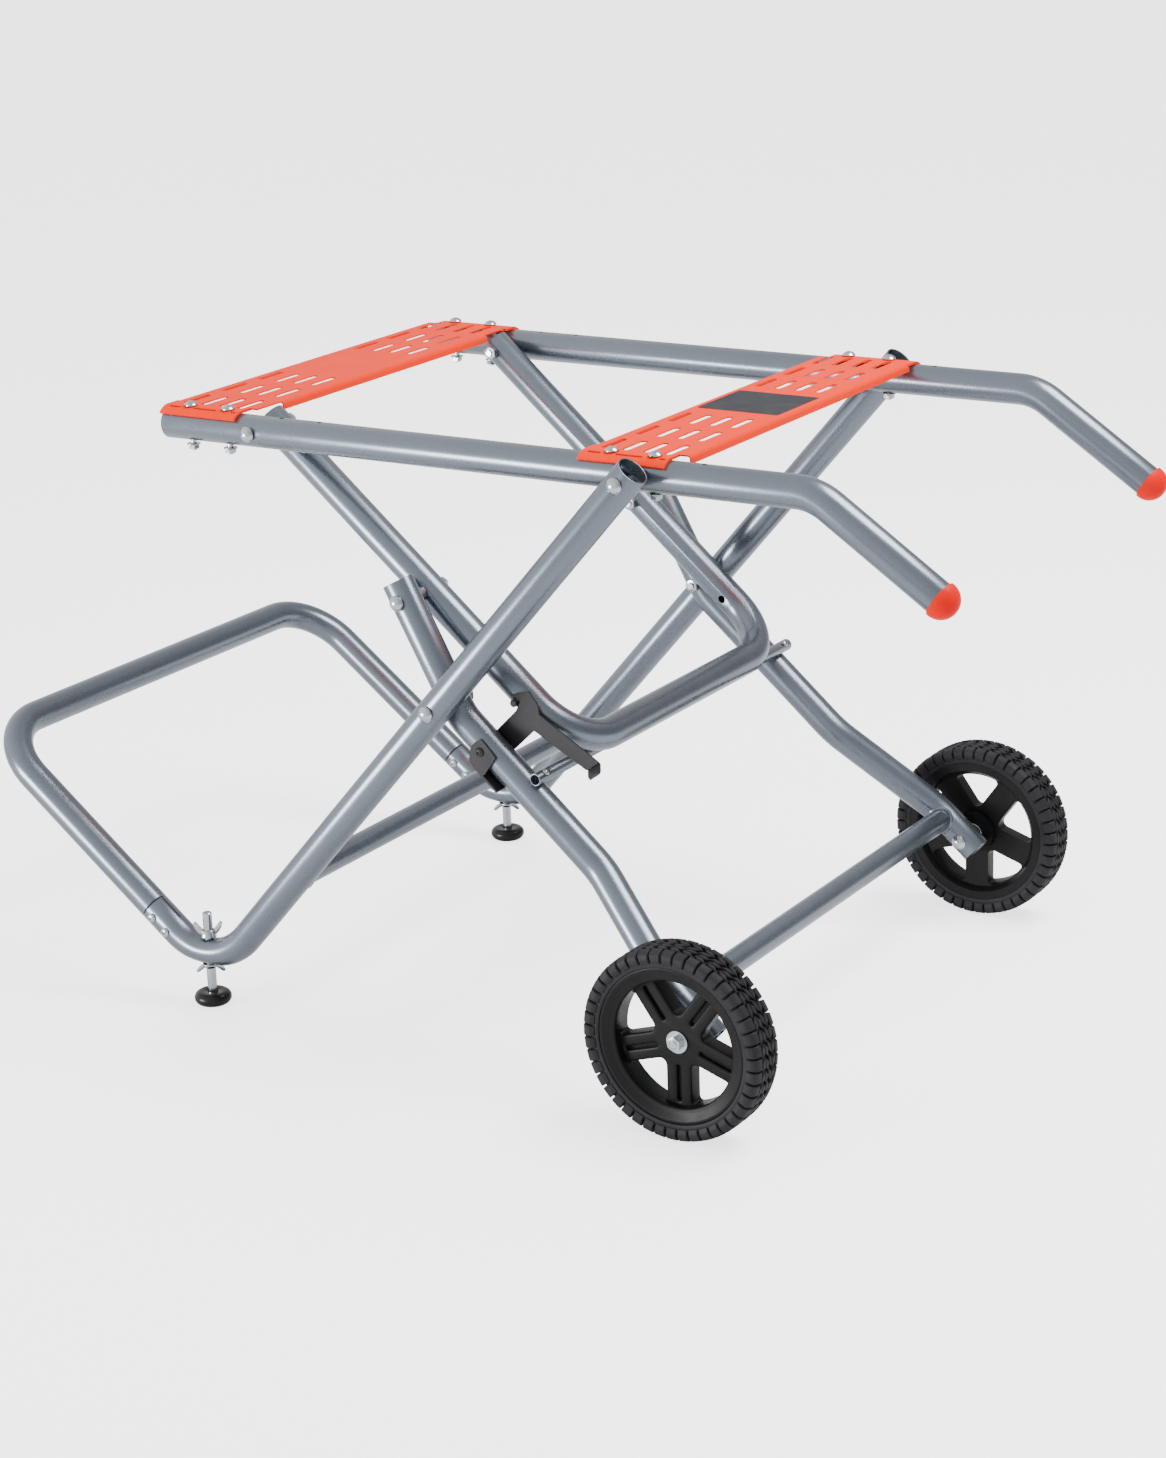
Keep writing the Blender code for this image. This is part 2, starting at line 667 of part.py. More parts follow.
def make_legs():
    """The outer legs, each one tube from the rail pivot round the foot to the loop's seam."""
    for side, word in SIDE_NAMES.items():
        leg = tube(leg_path(side), TUBE_D, TUBE_WALL)
        flatten_foot(leg)
        seam, run = seam_of(side)
        over = ACROSS.cross(run).normalized()
        stud = spot(FOOT_BOTTOM, side * FOOT_PAD_HALF)
        make_part(word + "_leg", cut(
            leg,
            across_hole(PIVOT_R, RAIL_PIVOT, side * LEG_HALF),
            across_hole(PIVOT_R, MAIN_PIVOT, side * MAIN_PIVOT_HALF),
            cylinder(STUD_R + HOLE_CLEARANCE, stud - UP * TUBE_D, stud + UP * TUBE_D),
            box((SLIT_WIDTH, SLIT_LENGTH * 2, TUBE_R), seam + over * TUBE_R, over, run),
            *seam_screw_holes(side)), GREY_PAINT)


def make_base_loop():
    """The rear loop: one tube whose swaged ends plug into the two legs."""
    shoulder = FIT + SPIGOT_SHOULDER
    seam_left, run_left = seam_of(LEFT)
    seam_right, run_right = seam_of(RIGHT)
    body = rounded([seam_left + run_left * shoulder, spot(LOOP_CORNER, -LOOP_HALF),
                    spot(LOOP_CORNER, LOOP_HALF), seam_right + run_right * shoulder],
                   [LOOP_CORNER_R, LOOP_CORNER_R])
    swage = 1 - 2 * (TUBE_WALL + SPIGOT_CLEARANCE) / TUBE_D
    path = [seam_left - run_left * SPIGOT_LENGTH, seam_left + run_left * FIT, *body,
            seam_right + run_right * FIT, seam_right - run_right * SPIGOT_LENGTH]
    loop = tube(path, TUBE_D, TUBE_WALL, scales=[swage, swage] + [1] * len(body) + [swage, swage])
    holes = seam_screw_holes(LEFT) + seam_screw_holes(RIGHT)
    make_part("base_loop", cut(loop, *holes), GREY_PAINT)


def make_seam_screws():
    length = 2 * TUBE_WALL + SPIGOT_CLEARANCE + SEAM_SCREW_R
    shank = [(SEAM_SCREW_R, 0), (SEAM_SCREW_R, -length), (0, -length)]
    screw = turned(head(SEAM_HEAD_R, SEAM_HEAD_H) + shank)
    outward = ACROSS * SEAM_SCREW_FACING
    for side, word in SIDE_NAMES.items():
        seam, run = seam_of(side)
        for number, back in enumerate(SEAM_SCREW_PLACES, start=1):
            place = seam - run * back + outward * (TUBE_R + FIT)
            make_part(f"{word}_seam_screw_{number}", put(copy_of(screw), place, outward), ZINC)
    bpy.data.objects.remove(screw, do_unlink=True)


def make_leg_cross_tube():
    """A thinner tube between the legs, coped to them at its ends."""
    distance = LEG_LENGTH - LEG_CROSS_FROM_FOOT
    place = RAIL_PIVOT + LEG_DIR * distance
    ends = [spot(place, side * leg_half(distance)) for side in SIDE_NAMES]
    cross = tube(ends, CROSS_TUBE_D, TUBE_WALL)
    legs = [bar(leg_path(side), TUBE_D + 2 * FIT) for side in SIDE_NAMES]
    make_part("leg_cross_tube", cut(cross, *legs), GREY_PAINT)


def make_rails(axis):
    """The two top rails, bent down at the handles and open at the other end."""
    for side, word in SIDE_NAMES.items():
        half = side * RAIL_HALF_GAUGE
        start = BRACE_PIVOT - ALONG * RAIL_FREE_END
        rail = tube(rounded([spot(start, half), spot(HANDLE_CORNER, half), spot(HANDLE_END, half)],
                            [HANDLE_BEND_R]), TUBE_D, TUBE_WALL)
        tools = [across_hole(PIVOT_R, BRACE_PIVOT, half), across_hole(PIVOT_R, RAIL_PIVOT, half)]
        for centre in (LOOP_END_PLATE_X, HANDLE_END_PLATE_X):
            for place in plate_bolt_places(centre):
                low, high = spot(place - UP * TUBE_D, half), spot(place + UP * TUBE_D, half)
                tools.append(cylinder(PLATE_BOLT_R + HOLE_CLEARANCE, low, high))
        for reach in RAIL_HOLE_PLACES:
            middle = spot(BRACE_PIVOT + ALONG * reach, half)
            tools.append(cylinder(RAIL_HOLE_R, middle, middle + UP * TUBE_D))
        make_part(word + "_rail", cut(rail, *tools), GREY_PAINT, axis)


def make_grip_caps(axis):
    """Domed plastic plugs in the handles' ends."""
    plug_r = TUBE_R - TUBE_WALL - FIT
    profile = dome(CAP_RIM_R, CAP_RIM_R, CAP_RIM, CAP_DOME_STEPS)
    profile += [(CAP_RIM_R, FIT), (plug_r, FIT), (plug_r, -CAP_PLUG), (0, -CAP_PLUG)]
    for side, word in SIDE_NAMES.items():
        place = spot(HANDLE_END, side * RAIL_HALF_GAUGE)
        make_part(word + "_grip_cap", put(turned(profile, TUBE_SIDES), place, HANDLE_DIR), RED_PLASTIC, axis)


def plate_bolt_places(centre):
    """Places on the rail's centre line of a plate's two bolts."""
    return [BRACE_PIVOT + ALONG * (centre + way * PLATE_BOLT_PITCH / 2) for way in (-1, 1)]


def slot_outline(x, y):
    """A slot with round ends, long across the plate."""
    radius = SLOT_WIDTH / 2
    straight = SLOT_LENGTH / 2 - radius
    points = []
    for way in (1, -1):
        for step in range(SLOT_END_STEPS + 1):
            angle = math.pi * step / SLOT_END_STEPS
            end_y = y + way * (straight + radius * math.sin(angle))
            points.append((x + way * radius * math.cos(angle), end_y))
    return points


def circle_outline(x, y, radius, sides=HOLE_SIDES):
    turns = [2 * math.pi * step / sides for step in range(sides)]
    return [(x + radius * math.cos(turn), y + radius * math.sin(turn)) for turn in turns]


def rectangle(x0, x1, y0, y1):
    return [(x0, y0), (x1, y0), (x1, y1), (x0, y1)]


def plate_openings(notched):
    """Outlines of everything that is cut through a plate, about its centre."""
    shapes = []
    first_column = -SLOT_SHIFT - SLOT_COLUMN_PITCH * (SLOT_COLUMNS - 1) / 2
    for side in SIDE_NAMES:
        for row in range(SLOT_ROWS):
            for column in range(SLOT_COLUMNS):
                shapes.append(slot_outline(first_column + column * SLOT_COLUMN_PITCH,
                                           side * (OUTER_ROW_HALF - row * SLOT_ROW_PITCH)))
        for way in (-1, 1):
            shapes.append(circle_outline(way * PLATE_BOLT_PITCH / 2, side * RAIL_HALF_GAUGE,
                                         PLATE_BOLT_R + HOLE_CLEARANCE))
        relief = side * (RAIL_HALF_GAUGE + RELIEF_OUT)
        for start, end in RELIEF_SPANS_SHARES:
            shapes.append(rectangle(start * PLATE_WIDTH, end * PLATE_WIDTH,
                                    relief - RELIEF_WIDTH / 2, relief + RELIEF_WIDTH / 2))
        if notched:
            inner = side * (BRACE_HALF - TUBE_R - BRACE_NOTCH_MARGIN)
            outer = side * (FLANGE_HALF + BRACE_NOTCH_MARGIN / 2)
            edge = PLATE_WIDTH / 2
            shapes.append(rectangle(edge - BRACE_NOTCH_DEPTH, edge + OVERRUN, inner, outer))
    return shapes


def make_plate(name, centre, axis, notched):
    """A pressed plate: a channel between the rails and an apron round the top of each rail."""
    middle = spot(ALONG * centre)
    edge = PLATE_WIDTH / 2
    outer = [Vector((way * edge, 0, height)) for way, height in
             ((-1, FLANGE_FOOT), (-1, PLATE_TOP), (1, PLATE_TOP), (1, FLANGE_FOOT))]
    inner = [Vector((way * (edge - PLATE_T), 0, height)) for way, height in
             ((1, FLANGE_FOOT), (1, PLATE_UNDER), (-1, PLATE_UNDER), (-1, FLANGE_FOOT))]
    bend_out = PLATE_BEND_IN + PLATE_T
    profile = rounded(outer, [bend_out, bend_out], SMALL_STEP_DEG)
    profile += rounded(inner, [PLATE_BEND_IN, PLATE_BEND_IN], SMALL_STEP_DEG)
    channel = side_plate([middle + point for point in profile], -FLANGE_HALF, FLANGE_HALF)
    aprons = []
    for side in SIDE_NAMES:
        apron = [(side * (FLANGE_HALF - PLATE_T), PLATE_TOP)]
        for radius, order in ((TUBE_R + FIT + PLATE_T, 1), (TUBE_R + FIT, -1)):
            for step in range(APRON_STEPS + 1)[::order]:
                angle = math.radians(APRON_WRAP_DEG * step / APRON_STEPS)
                apron.append((side * (RAIL_HALF_GAUGE + radius * math.sin(angle)),
                              RAIL_HEIGHT + radius * math.cos(angle)))
        apron.append((side * (FLANGE_HALF - PLATE_T), PLATE_UNDER))
        full, short = middle.x + side * edge, middle.x - side * (edge - APRON_SHORTFALL)
        aprons.append(across_plate(apron, full, short))
    openings = outlines(plate_openings(notched), FLANGE_DROP + 2 * OVERRUN)
    openings.location = middle + UP * (PLATE_TOP + FLANGE_FOOT) / 2
    bpy.context.view_layer.update()
    make_part(name, cut(fused(channel, *aprons), openings), ORANGE_PAINT, axis)


def make_plate_bolts(name, centre, axis, slack):
    """Domed bolts through plate and rail, with flange nuts under the rail."""
    head_seat = PLATE_TOP + FIT
    nut_seat = RAIL_HEIGHT - TUBE_R - FIT - slack
    master = bolt((PLATE_HEAD_R, PLATE_HEAD_H), PLATE_BOLT_R, head_seat - nut_seat,
                  (PLATE_NUT_AF, PLATE_NUT_H), PLATE_BOLT_TAIL, (PLATE_NUT_FLANGE_R, PLATE_NUT_FLANGE_H))
    for side, word in SIDE_NAMES.items():
        for number, place in enumerate(plate_bolt_places(centre), start=1):
            top = spot(Vector((place.x, 0, head_seat)), side * RAIL_HALF_GAUGE)
            make_part(f"{name}_bolt_{word}_{number}", put(copy_of(master), top, UP), ZINC, axis)
    bpy.data.objects.remove(master, do_unlink=True)


def make_pivot_bolts(name, place, outer_half, inner_half, axis=None):
    """Domed bolts through two crossed tubes, heads outwards and nuts inwards."""
    head_seat = outer_half + TUBE_R + FIT
    nut_seat = inner_half - TUBE_R - FIT
    for side, word in SIDE_NAMES.items():
        piece = bolt((PIVOT_HEAD_R, PIVOT_HEAD_H), PIVOT_R, head_seat - nut_seat,
                     (PIVOT_NUT_AF, PIVOT_NUT_H), PIVOT_TAIL)
        make_part(f"{word}_{name}", put(piece, spot(place, side * head_seat), ACROSS * side), ZINC, axis)


def make_loose_pivot(wheel_axis, brace_axis):
    """The pivot between wheel leg and brace, split between them: a headed half and a nut half."""
    head_seat = WHEEL_LEG_HALF + TUBE_R + FIT
    collar_seat = WHEEL_LEG_HALF - TUBE_R - FIT
    shear = LOOSE_PIVOT_HALF + TUBE_R + SHEAR_GAP
    nut_seat = LOOSE_PIVOT_HALF - TUBE_R - FIT
    outer = head(PIVOT_HEAD_R, PIVOT_HEAD_H) + [
        (PIVOT_R, 0), (PIVOT_R, collar_seat - head_seat), (COLLAR_R, collar_seat - head_seat),
        (COLLAR_R, shear - head_seat), (0, shear - head_seat)]
    stub_end = nut_seat - PIVOT_NUT_H - PIVOT_TAIL
    stub_start = LOOSE_PIVOT_HALF + TUBE_R
    for side, word in SIDE_NAMES.items():
        place = spot(LOOSE_PIVOT, side * head_seat)
        make_part(word + "_loose_pivot_head", put(turned(outer), place, ACROSS * side), ZINC, wheel_axis)
        stub = cylinder(PIVOT_R, UP * stub_end, UP * stub_start, SHANK_SIDES)
        nut = fused(stub, hexagon(PIVOT_NUT_AF, nut_seat - PIVOT_NUT_H, nut_seat))
        make_part(word + "_loose_pivot_nut", put(nut, spot(LOOSE_PIVOT), ACROSS * side), ZINC, brace_axis)


def wheel_leg_path(side):
    flare_end = LOWER_LENGTH - FLARE_END_BACK
    points = [spot(LOOSE_PIVOT - UPPER_DIR * WHEEL_LEG_TOP_REACH, side * WHEEL_LEG_HALF),
              spot(KNEE_CORNER, side * WHEEL_LEG_HALF),
              spot(KNEE_CORNER + LOWER_DIR * (flare_end - FLARE_LENGTH), side * WHEEL_LEG_HALF),
              spot(KNEE_CORNER + LOWER_DIR * flare_end, side * FLARED_HALF),
              spot(AXLE + LOWER_DIR * AXLE_TAIL, side * FLARED_HALF)]
    return rounded(points, [KNEE_BEND_R, FLARE_BEND_R, FLARE_BEND_R])


def make_wheel_legs(axis):
    """The inner legs that carry the wheels, flared outwards at their lower ends."""
    for side, word in SIDE_NAMES.items():
        half = side * WHEEL_LEG_HALF
        tools = [across_hole(PIVOT_R, LOOSE_PIVOT, half), across_hole(PIVOT_R, MAIN_PIVOT, half),
                 across_hole(AXLE_R, AXLE, side * FLARED_HALF),
                 cylinder(ROD_SCREW_R + HOLE_CLEARANCE, spot(ROD - LOWER_UP * REST, half), spot(ROD, half))]
        if side == LEFT:
            tools.append(across_hole(LATCH_BOLT_R, LATCH_PIVOT, half))
        leg = tube(wheel_leg_path(side), TUBE_D, TUBE_WALL)
        make_part(word + "_wheel_leg", cut(leg, *tools), GREY_PAINT, axis)


def make_wheel_cross_tube(axis):
    place = AXLE - LOWER_DIR * WHEEL_CROSS_BACK
    cross = tube([spot(place, -FLARED_HALF), spot(place, FLARED_HALF)], CROSS_TUBE_D, TUBE_WALL)
    legs = [bar(wheel_leg_path(side), TUBE_D + 2 * FIT) for side in SIDE_NAMES]
    make_part("wheel_cross_tube", cut(cross, *legs), GREY_PAINT, axis)


def make_stop_rod(axis):
    """The rod that lies across the wheel legs and stops the brace, with its two screws."""
    rod_half = WHEEL_LEG_HALF + ROD_OVERHANG
    rod = tube([spot(ROD, -rod_half), spot(ROD, rod_half)], ROD_D, ROD_WALL, ROD_SIDES)
    length = ROD_D + 2 * FIT + TUBE_WALL + OVERRUN
    profile = head(ROD_HEAD_R, ROD_HEAD_H) + [(ROD_SCREW_R, 0), (ROD_SCREW_R, -length), (0, -length)]
    holes = []
    for side, word in SIDE_NAMES.items():
        middle = spot(ROD, side * WHEEL_LEG_HALF)
        holes.append(cylinder(ROD_SCREW_R + HOLE_CLEARANCE, middle - LOWER_UP * ROD_D,
                              middle + LOWER_UP * ROD_D))
        screw = put(turned(profile), middle + LOWER_UP * (ROD_R + FIT), LOWER_UP)
        make_part(word + "_rod_screw", screw, ZINC, axis)
    make_part("stop_rod", cut(rod, *holes), GREY_PAINT, axis)


def make_brace(axis):
    """The U-shaped brace: two arms from the rails and a crossbar that rests on the stop rod."""
    slope = BRACE_TAPER / BRACE_LENGTH
    top = BRACE_PIVOT - BRACE_DIR * BRACE_TOP_REACH
    top_half = BRACE_HALF + slope * BRACE_TOP_REACH
    path = rounded([spot(top, -top_half), spot(CROSSBAR, -CROSSBAR_HALF),
                    spot(CROSSBAR, CROSSBAR_HALF), spot(top, top_half)], [BRACE_CORNER_R, BRACE_CORNER_R])
    tools = []
    for side in SIDE_NAMES:
        tools += [across_hole(PIVOT_R, BRACE_PIVOT, side * BRACE_HALF),
                  across_hole(PIVOT_R, LOOSE_PIVOT, side * LOOSE_PIVOT_HALF),
                  across_hole(LATCH_PIN_R, PIN_SPOT, side * PIN_HALF)]
    make_part("u_brace", cut(tube(path, TUBE_D, TUBE_WALL), *tools), GREY_PAINT, axis)


def make_latch_pin(axis):
    """The catch pin through the brace's left arm, which the latch hooks over."""
    head_seat = PIN_HALF - TUBE_R - FIT
    grip = 2 * (TUBE_R + FIT)
    tail = LATCH_PLATE_HALF + LATCH_T + LATCH_PIN_OVERHANG - LATCH_PIN_NUT_H - grip - head_seat
    pin = bolt((LATCH_PIN_HEAD_R, LATCH_PIN_HEAD_H), LATCH_PIN_R, grip,
               (LATCH_PIN_NUT_AF, LATCH_PIN_NUT_H), tail)
    make_part("latch_pin", put(pin, spot(PIN_SPOT, -head_seat), ACROSS), BLACK_STEEL, axis)


def latch_points(shares):
    return [spot(LATCH_PIVOT + LOWER_DIR * LATCH_REACH * along + LOWER_UP * LATCH_RISE * up)
            for along, up in shares]


def make_latch(axis, wheel_axis):
    """The foot latch: a hooked plate, an outer ear and a web that joins them under the tube."""
    web_top = LATCH_PIVOT - LOWER_UP * (TUBE_R + FIT)
    start, end = [LOWER_DIR * LATCH_REACH * share for share in LATCH_WEB_SPAN_SHARES]
    side_end = LOWER_DIR * LATCH_REACH * LATCH_SIDE_END_SHARE
    low = -LOWER_UP * LATCH_T
    under = [spot(web_top + start + low), spot(web_top + side_end + low)]
    ear_half = WHEEL_LEG_HALF + TUBE_R + LATCH_SIDE_GAP
    hook = side_plate(under + latch_points(LATCH_PLATE_SHARES),
                      -LATCH_PLATE_HALF, -LATCH_PLATE_HALF - LATCH_T)
    ear = side_plate(under + latch_points(LATCH_EAR_SHARES), -ear_half, -ear_half - LATCH_T)
    web = side_plate([spot(web_top + start + low), spot(web_top + end + low),
                      spot(web_top + end), spot(web_top + start)],
                     -LATCH_PLATE_HALF, -ear_half - LATCH_T)
    tip = latch_points(LATCH_PEDAL_SHARES)
    fold = (tip[1] - tip[0]).normalized().cross(ACROSS) * LATCH_T
    pedal = side_plate(tip + [tip[1] - fold, tip[0] - fold],
                       -LATCH_PLATE_HALF, -LATCH_PLATE_HALF - LATCH_PEDAL_W)
    lever = fused(hook, ear, web, pedal)
    hole = cylinder(LATCH_BOLT_R + HOLE_CLEARANCE, spot(LATCH_PIVOT, -LATCH_PLATE_HALF + OVERRUN),
                    spot(LATCH_PIVOT, -ear_half - OVERRUN))
    make_part("latch_lever", cut(lever, hole), BLACK_STEEL, axis)
    head_seat = ear_half + LATCH_T + FIT
    piece = bolt((LATCH_HEAD_R, LATCH_HEAD_H), LATCH_BOLT_R, head_seat - LATCH_PLATE_HALF + FIT,
                 (LATCH_NUT_AF, LATCH_NUT_H), FIT)
    make_part("latch_pivot_bolt", put(piece, spot(LATCH_PIVOT, -head_seat), -ACROSS), BLACK_STEEL, wheel_axis)


def make_tyre():
    bead = RIM_R + FIT
    points = [(bead + (WHEEL_R - bead) * along, WHEEL_W / 2 * wide) for along, wide in TYRE_SHARES]
    profile = points + [(radius, -height) for radius, height in points[-2::-1]]
    return turned(profile, WHEEL_SIDES, closed=True)


def window_outline(index):
    """One opening between two spokes: straight along the spokes and round at the rim."""
    middle = math.pi / 2 + 2 * math.pi * index / SPOKES
    far = RIM_LIP_R - WINDOW_MARGIN
    spread = math.pi / SPOKES - math.asin(SPOKE_HALF_WIDTH / far)
    near = SPOKE_HALF_WIDTH / math.sin(math.pi / SPOKES)
    angles = [middle + spread * (2 * step / WINDOW_ARC_STEPS - 1) for step in range(WINDOW_ARC_STEPS + 1)]
    points = [Vector((math.cos(middle), math.sin(middle), 0)) * near]
    points += [Vector((math.cos(angle), math.sin(angle), 0)) * far for angle in angles]
    shape = points[2:-1]
    for corner in (-1, 0, 1):
        around = [points[corner - 1], points[corner], points[corner + 1]]
        shape += rounded(around, [WINDOW_CORNER_R], SMALL_STEP_DEG)[1:-1]
    return shape


def make_rim():
    """A moulded wheel centre: hub, five grooved spokes and a dished rim."""
    bore = AXLE_R + HOLE_CLEARANCE
    lip = RIM_W / 2 - RIM_DISH
    profile = [(bore, HUB_OUT), (HUB_R, HUB_OUT), (RIM_LIP_R, WEB_OUT), (RIM_LIP_R, lip),
               (RIM_R, RIM_W / 2), (RIM_R, -RIM_W / 2), (RIM_LIP_R, -RIM_W / 2),
               (RIM_LIP_R, -WEB_IN), (HUB_R, -WEB_IN), (HUB_R, -HUB_IN), (bore, -HUB_IN)]
    body = turned(profile, WHEEL_SIDES, closed=True)
    windows = outlines([window_outline(index) for index in range(SPOKES)], WEB_OUT + WEB_IN + 2 * OVERRUN)
    windows.location = UP * (WEB_OUT - WEB_IN) / 2
    bpy.context.view_layer.update()
    grooves = []
    for index in range(SPOKES):
        turn = math.pi / 2 + 2 * math.pi * (index + 1 / 2) / SPOKES
        outward = Vector((math.cos(turn), math.sin(turn), 0))
        run = RIM_LIP_R - HUB_R - 2 * WINDOW_MARGIN
        grooves.append(box((RIB_GROOVE_W, run, 2 * RIB_GROOVE_DEPTH),
                           outward * (RIM_LIP_R + HUB_R) / 2 + UP * WEB_OUT, UP, outward))
    return cut(body, windows, *grooves)


def make_wheels(leg_axis):
    """Two wheels, each a rim and a tyre that turn on an axle bolt held by its wheel leg."""
    head_seat = FLARED_HALF - TUBE_R - FIT
    collar = FLARED_HALF + TUBE_R + FIT - head_seat
    hub_inner = WHEEL_HALF - HUB_IN - FIT - head_seat
    nut_seat = WHEEL_HALF + HUB_OUT + FIT
    shoulder = WHEEL_HALF + HUB_OUT - head_seat
    end = nut_seat + AXLE_WASHER_H + AXLE_NUT_H + AXLE_TAIL_OUT - head_seat
    axle = head(AXLE_HEAD_R, AXLE_HEAD_H) + [(AXLE_R, 0), (AXLE_R, -collar), (AXLE_WASHER_R, -collar),
                                             (AXLE_WASHER_R, -hub_inner), (AXLE_R, -hub_inner),
                                             (AXLE_R, -shoulder), (AXLE_THREAD_R, -shoulder),
                                             (AXLE_THREAD_R, -end), (0, -end)]
    for side, word in SIDE_NAMES.items():
        outward = ACROSS * side
        middle = spot(AXLE, side * WHEEL_HALF)
        axis = make_axis(word + "_wheel_axis", AXLE, side * WHEEL_HALF, leg_axis)
        make_part(word + "_wheel_rim", put(make_rim(), middle, outward, UP), BLACK_PLASTIC, axis)
        make_part(word + "_tyre", put(make_tyre(), middle, outward, UP), BLACK_RUBBER, axis)
        shaft = put(turned(axle), spot(AXLE, side * head_seat), -outward)
        make_part(word + "_axle_bolt", shaft, ZINC, leg_axis)
        washer = cylinder(AXLE_WASHER_R, Vector(), UP * AXLE_WASHER_H, HEAD_SIDES)
        nut = fused(washer, hexagon(AXLE_NUT_AF, AXLE_WASHER_H / 2, AXLE_WASHER_H + AXLE_NUT_H))
        bore = cylinder(AXLE_THREAD_R + FIT, -UP * OVERRUN, UP * (AXLE_NUT_H + OVERRUN), SHANK_SIDES)
        nut = put(cut(nut, bore), spot(AXLE, side * nut_seat), outward)
        make_part(word + "_axle_nut", nut, ZINC, leg_axis)


def make_wing_nut(body_h, rise):
    """A wing nut with its seat at local Z = 0."""
    bore = STUD_R + HOLE_CLEARANCE
    edge = body_h * HEAD_EDGE_SHARE
    nut = turned([(bore, body_h), (WING_NECK_R, body_h), (WING_BASE_R, edge), (WING_BASE_R, 0), (bore, 0)],
                 HEAD_SIDES, closed=True)
    wings = []
    for way in (-1, 1):
        shape = [Vector((way * share * WING_SPAN / 2, 0, up * rise)) for share, up in WING_SHARES]
        wings.append(side_plate(shape, -WING_T / 2, WING_T / 2))
    return fused(nut, *wings)


def make_feet():
    """Two levelling feet: a rubber pad on a stud, with a wing nut over and under the leg."""
    socket = STUD_R + HOLE_CLEARANCE
    pad_bottom = PAD_H - PAD_SOCKET_DEPTH
    turns = [math.pi / 2 * step / PAD_STEPS for step in range(PAD_STEPS, -1, -1)]
    crown = [(PAD_SHOULDER_R + (PAD_R - PAD_SHOULDER_R) * math.cos(turn), PAD_H / 2 * (1 + math.sin(turn)))
             for turn in turns]
    pad = [(0, pad_bottom), (socket, pad_bottom), (socket, PAD_H), *crown, (PAD_SOLE_R, 0), (0, 0)]
    turn = math.radians(WING_TURN_DEG)
    wing_back = ACROSS * math.cos(turn) + ALONG * math.sin(turn)
    for side, word in SIDE_NAMES.items():
        half = side * FOOT_PAD_HALF
        floor = Vector((FOOT_BOTTOM.x, 0, 0))
        axis = make_axis(word + "_foot_axis", floor, half)
        stud = cylinder(STUD_R, spot(floor + UP * (pad_bottom + FIT), half),
                        spot(floor + UP * STUD_TOP, half), SHANK_SIDES)
        make_part(word + "_foot_stud", stud, ZINC, axis)
        make_part(word + "_foot_pad", put(turned(pad, PAD_SIDES), spot(floor, half), UP), BLACK_RUBBER, axis)
        upper, lower = floor + UP * UPPER_WING_SEAT, floor + UP * LOWER_WING_SEAT
        for name, seat, size, facing in (
                ("_upper_wing", upper, (WING_BODY_H, WING_RISE), UP),
                ("_lower_wing", lower, (LOWER_WING_BODY_H, LOWER_WING_RISE), -UP)):
            axis = make_axis(word + name + "_axis", seat, half)
            nut = put(make_wing_nut(*size), spot(seat, half), facing, wing_back)
            make_part(word + name + "_nut", nut, ZINC, axis)


def make_stand():
    fold_axis = make_axis("fold_axis", MAIN_PIVOT)
    rail_axis = make_axis("top_frame_axis", RAIL_PIVOT)
    brace_axis = make_axis("brace_axis", BRACE_PIVOT, parent=rail_axis)
    latch_axis = make_axis("latch_axis", LATCH_PIVOT, parent=fold_axis)
    make_legs()
    make_base_loop()
    make_seam_screws()
    make_leg_cross_tube()
    make_pivot_bolts("rail_pivot_bolt", RAIL_PIVOT, LEG_HALF, RAIL_HALF_GAUGE)
    make_pivot_bolts("main_pivot_bolt", MAIN_PIVOT, MAIN_PIVOT_HALF, WHEEL_LEG_HALF)
    make_feet()
    make_rails(rail_axis)
    make_grip_caps(rail_axis)
    make_plate("loop_end_plate", LOOP_END_PLATE_X, rail_axis, notched=True)
    make_plate("handle_end_plate", HANDLE_END_PLATE_X, rail_axis, notched=False)
    make_plate_bolts("loop_end", LOOP_END_PLATE_X, rail_axis, LOOSE_NUT_DROP)
    make_plate_bolts("handle_end", HANDLE_END_PLATE_X, rail_axis, 0)
    make_pivot_bolts("brace_pivot_bolt", BRACE_PIVOT, RAIL_HALF_GAUGE, BRACE_HALF, rail_axis)
    make_brace(brace_axis)
    make_latch_pin(brace_axis)
    make_wheel_legs(fold_axis)
    make_wheel_cross_tube(fold_axis)
    make_stop_rod(fold_axis)
    make_loose_pivot(fold_axis, brace_axis)
    make_latch(latch_axis, fold_axis)
    make_wheels(fold_axis)


make_stand()
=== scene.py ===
# %% [markdown]
# # A folding miter saw stand
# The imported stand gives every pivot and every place. This notebook dresses it: each tube, plate, bolt
# and wheel is modelled again with more roundness than the solids have, and each gets its own finish.
# Everything is in metres, X runs along the rails towards the handles, and Z is up from the floor.

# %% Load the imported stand
import json
import math

import bpy
from mathutils import Matrix, Vector


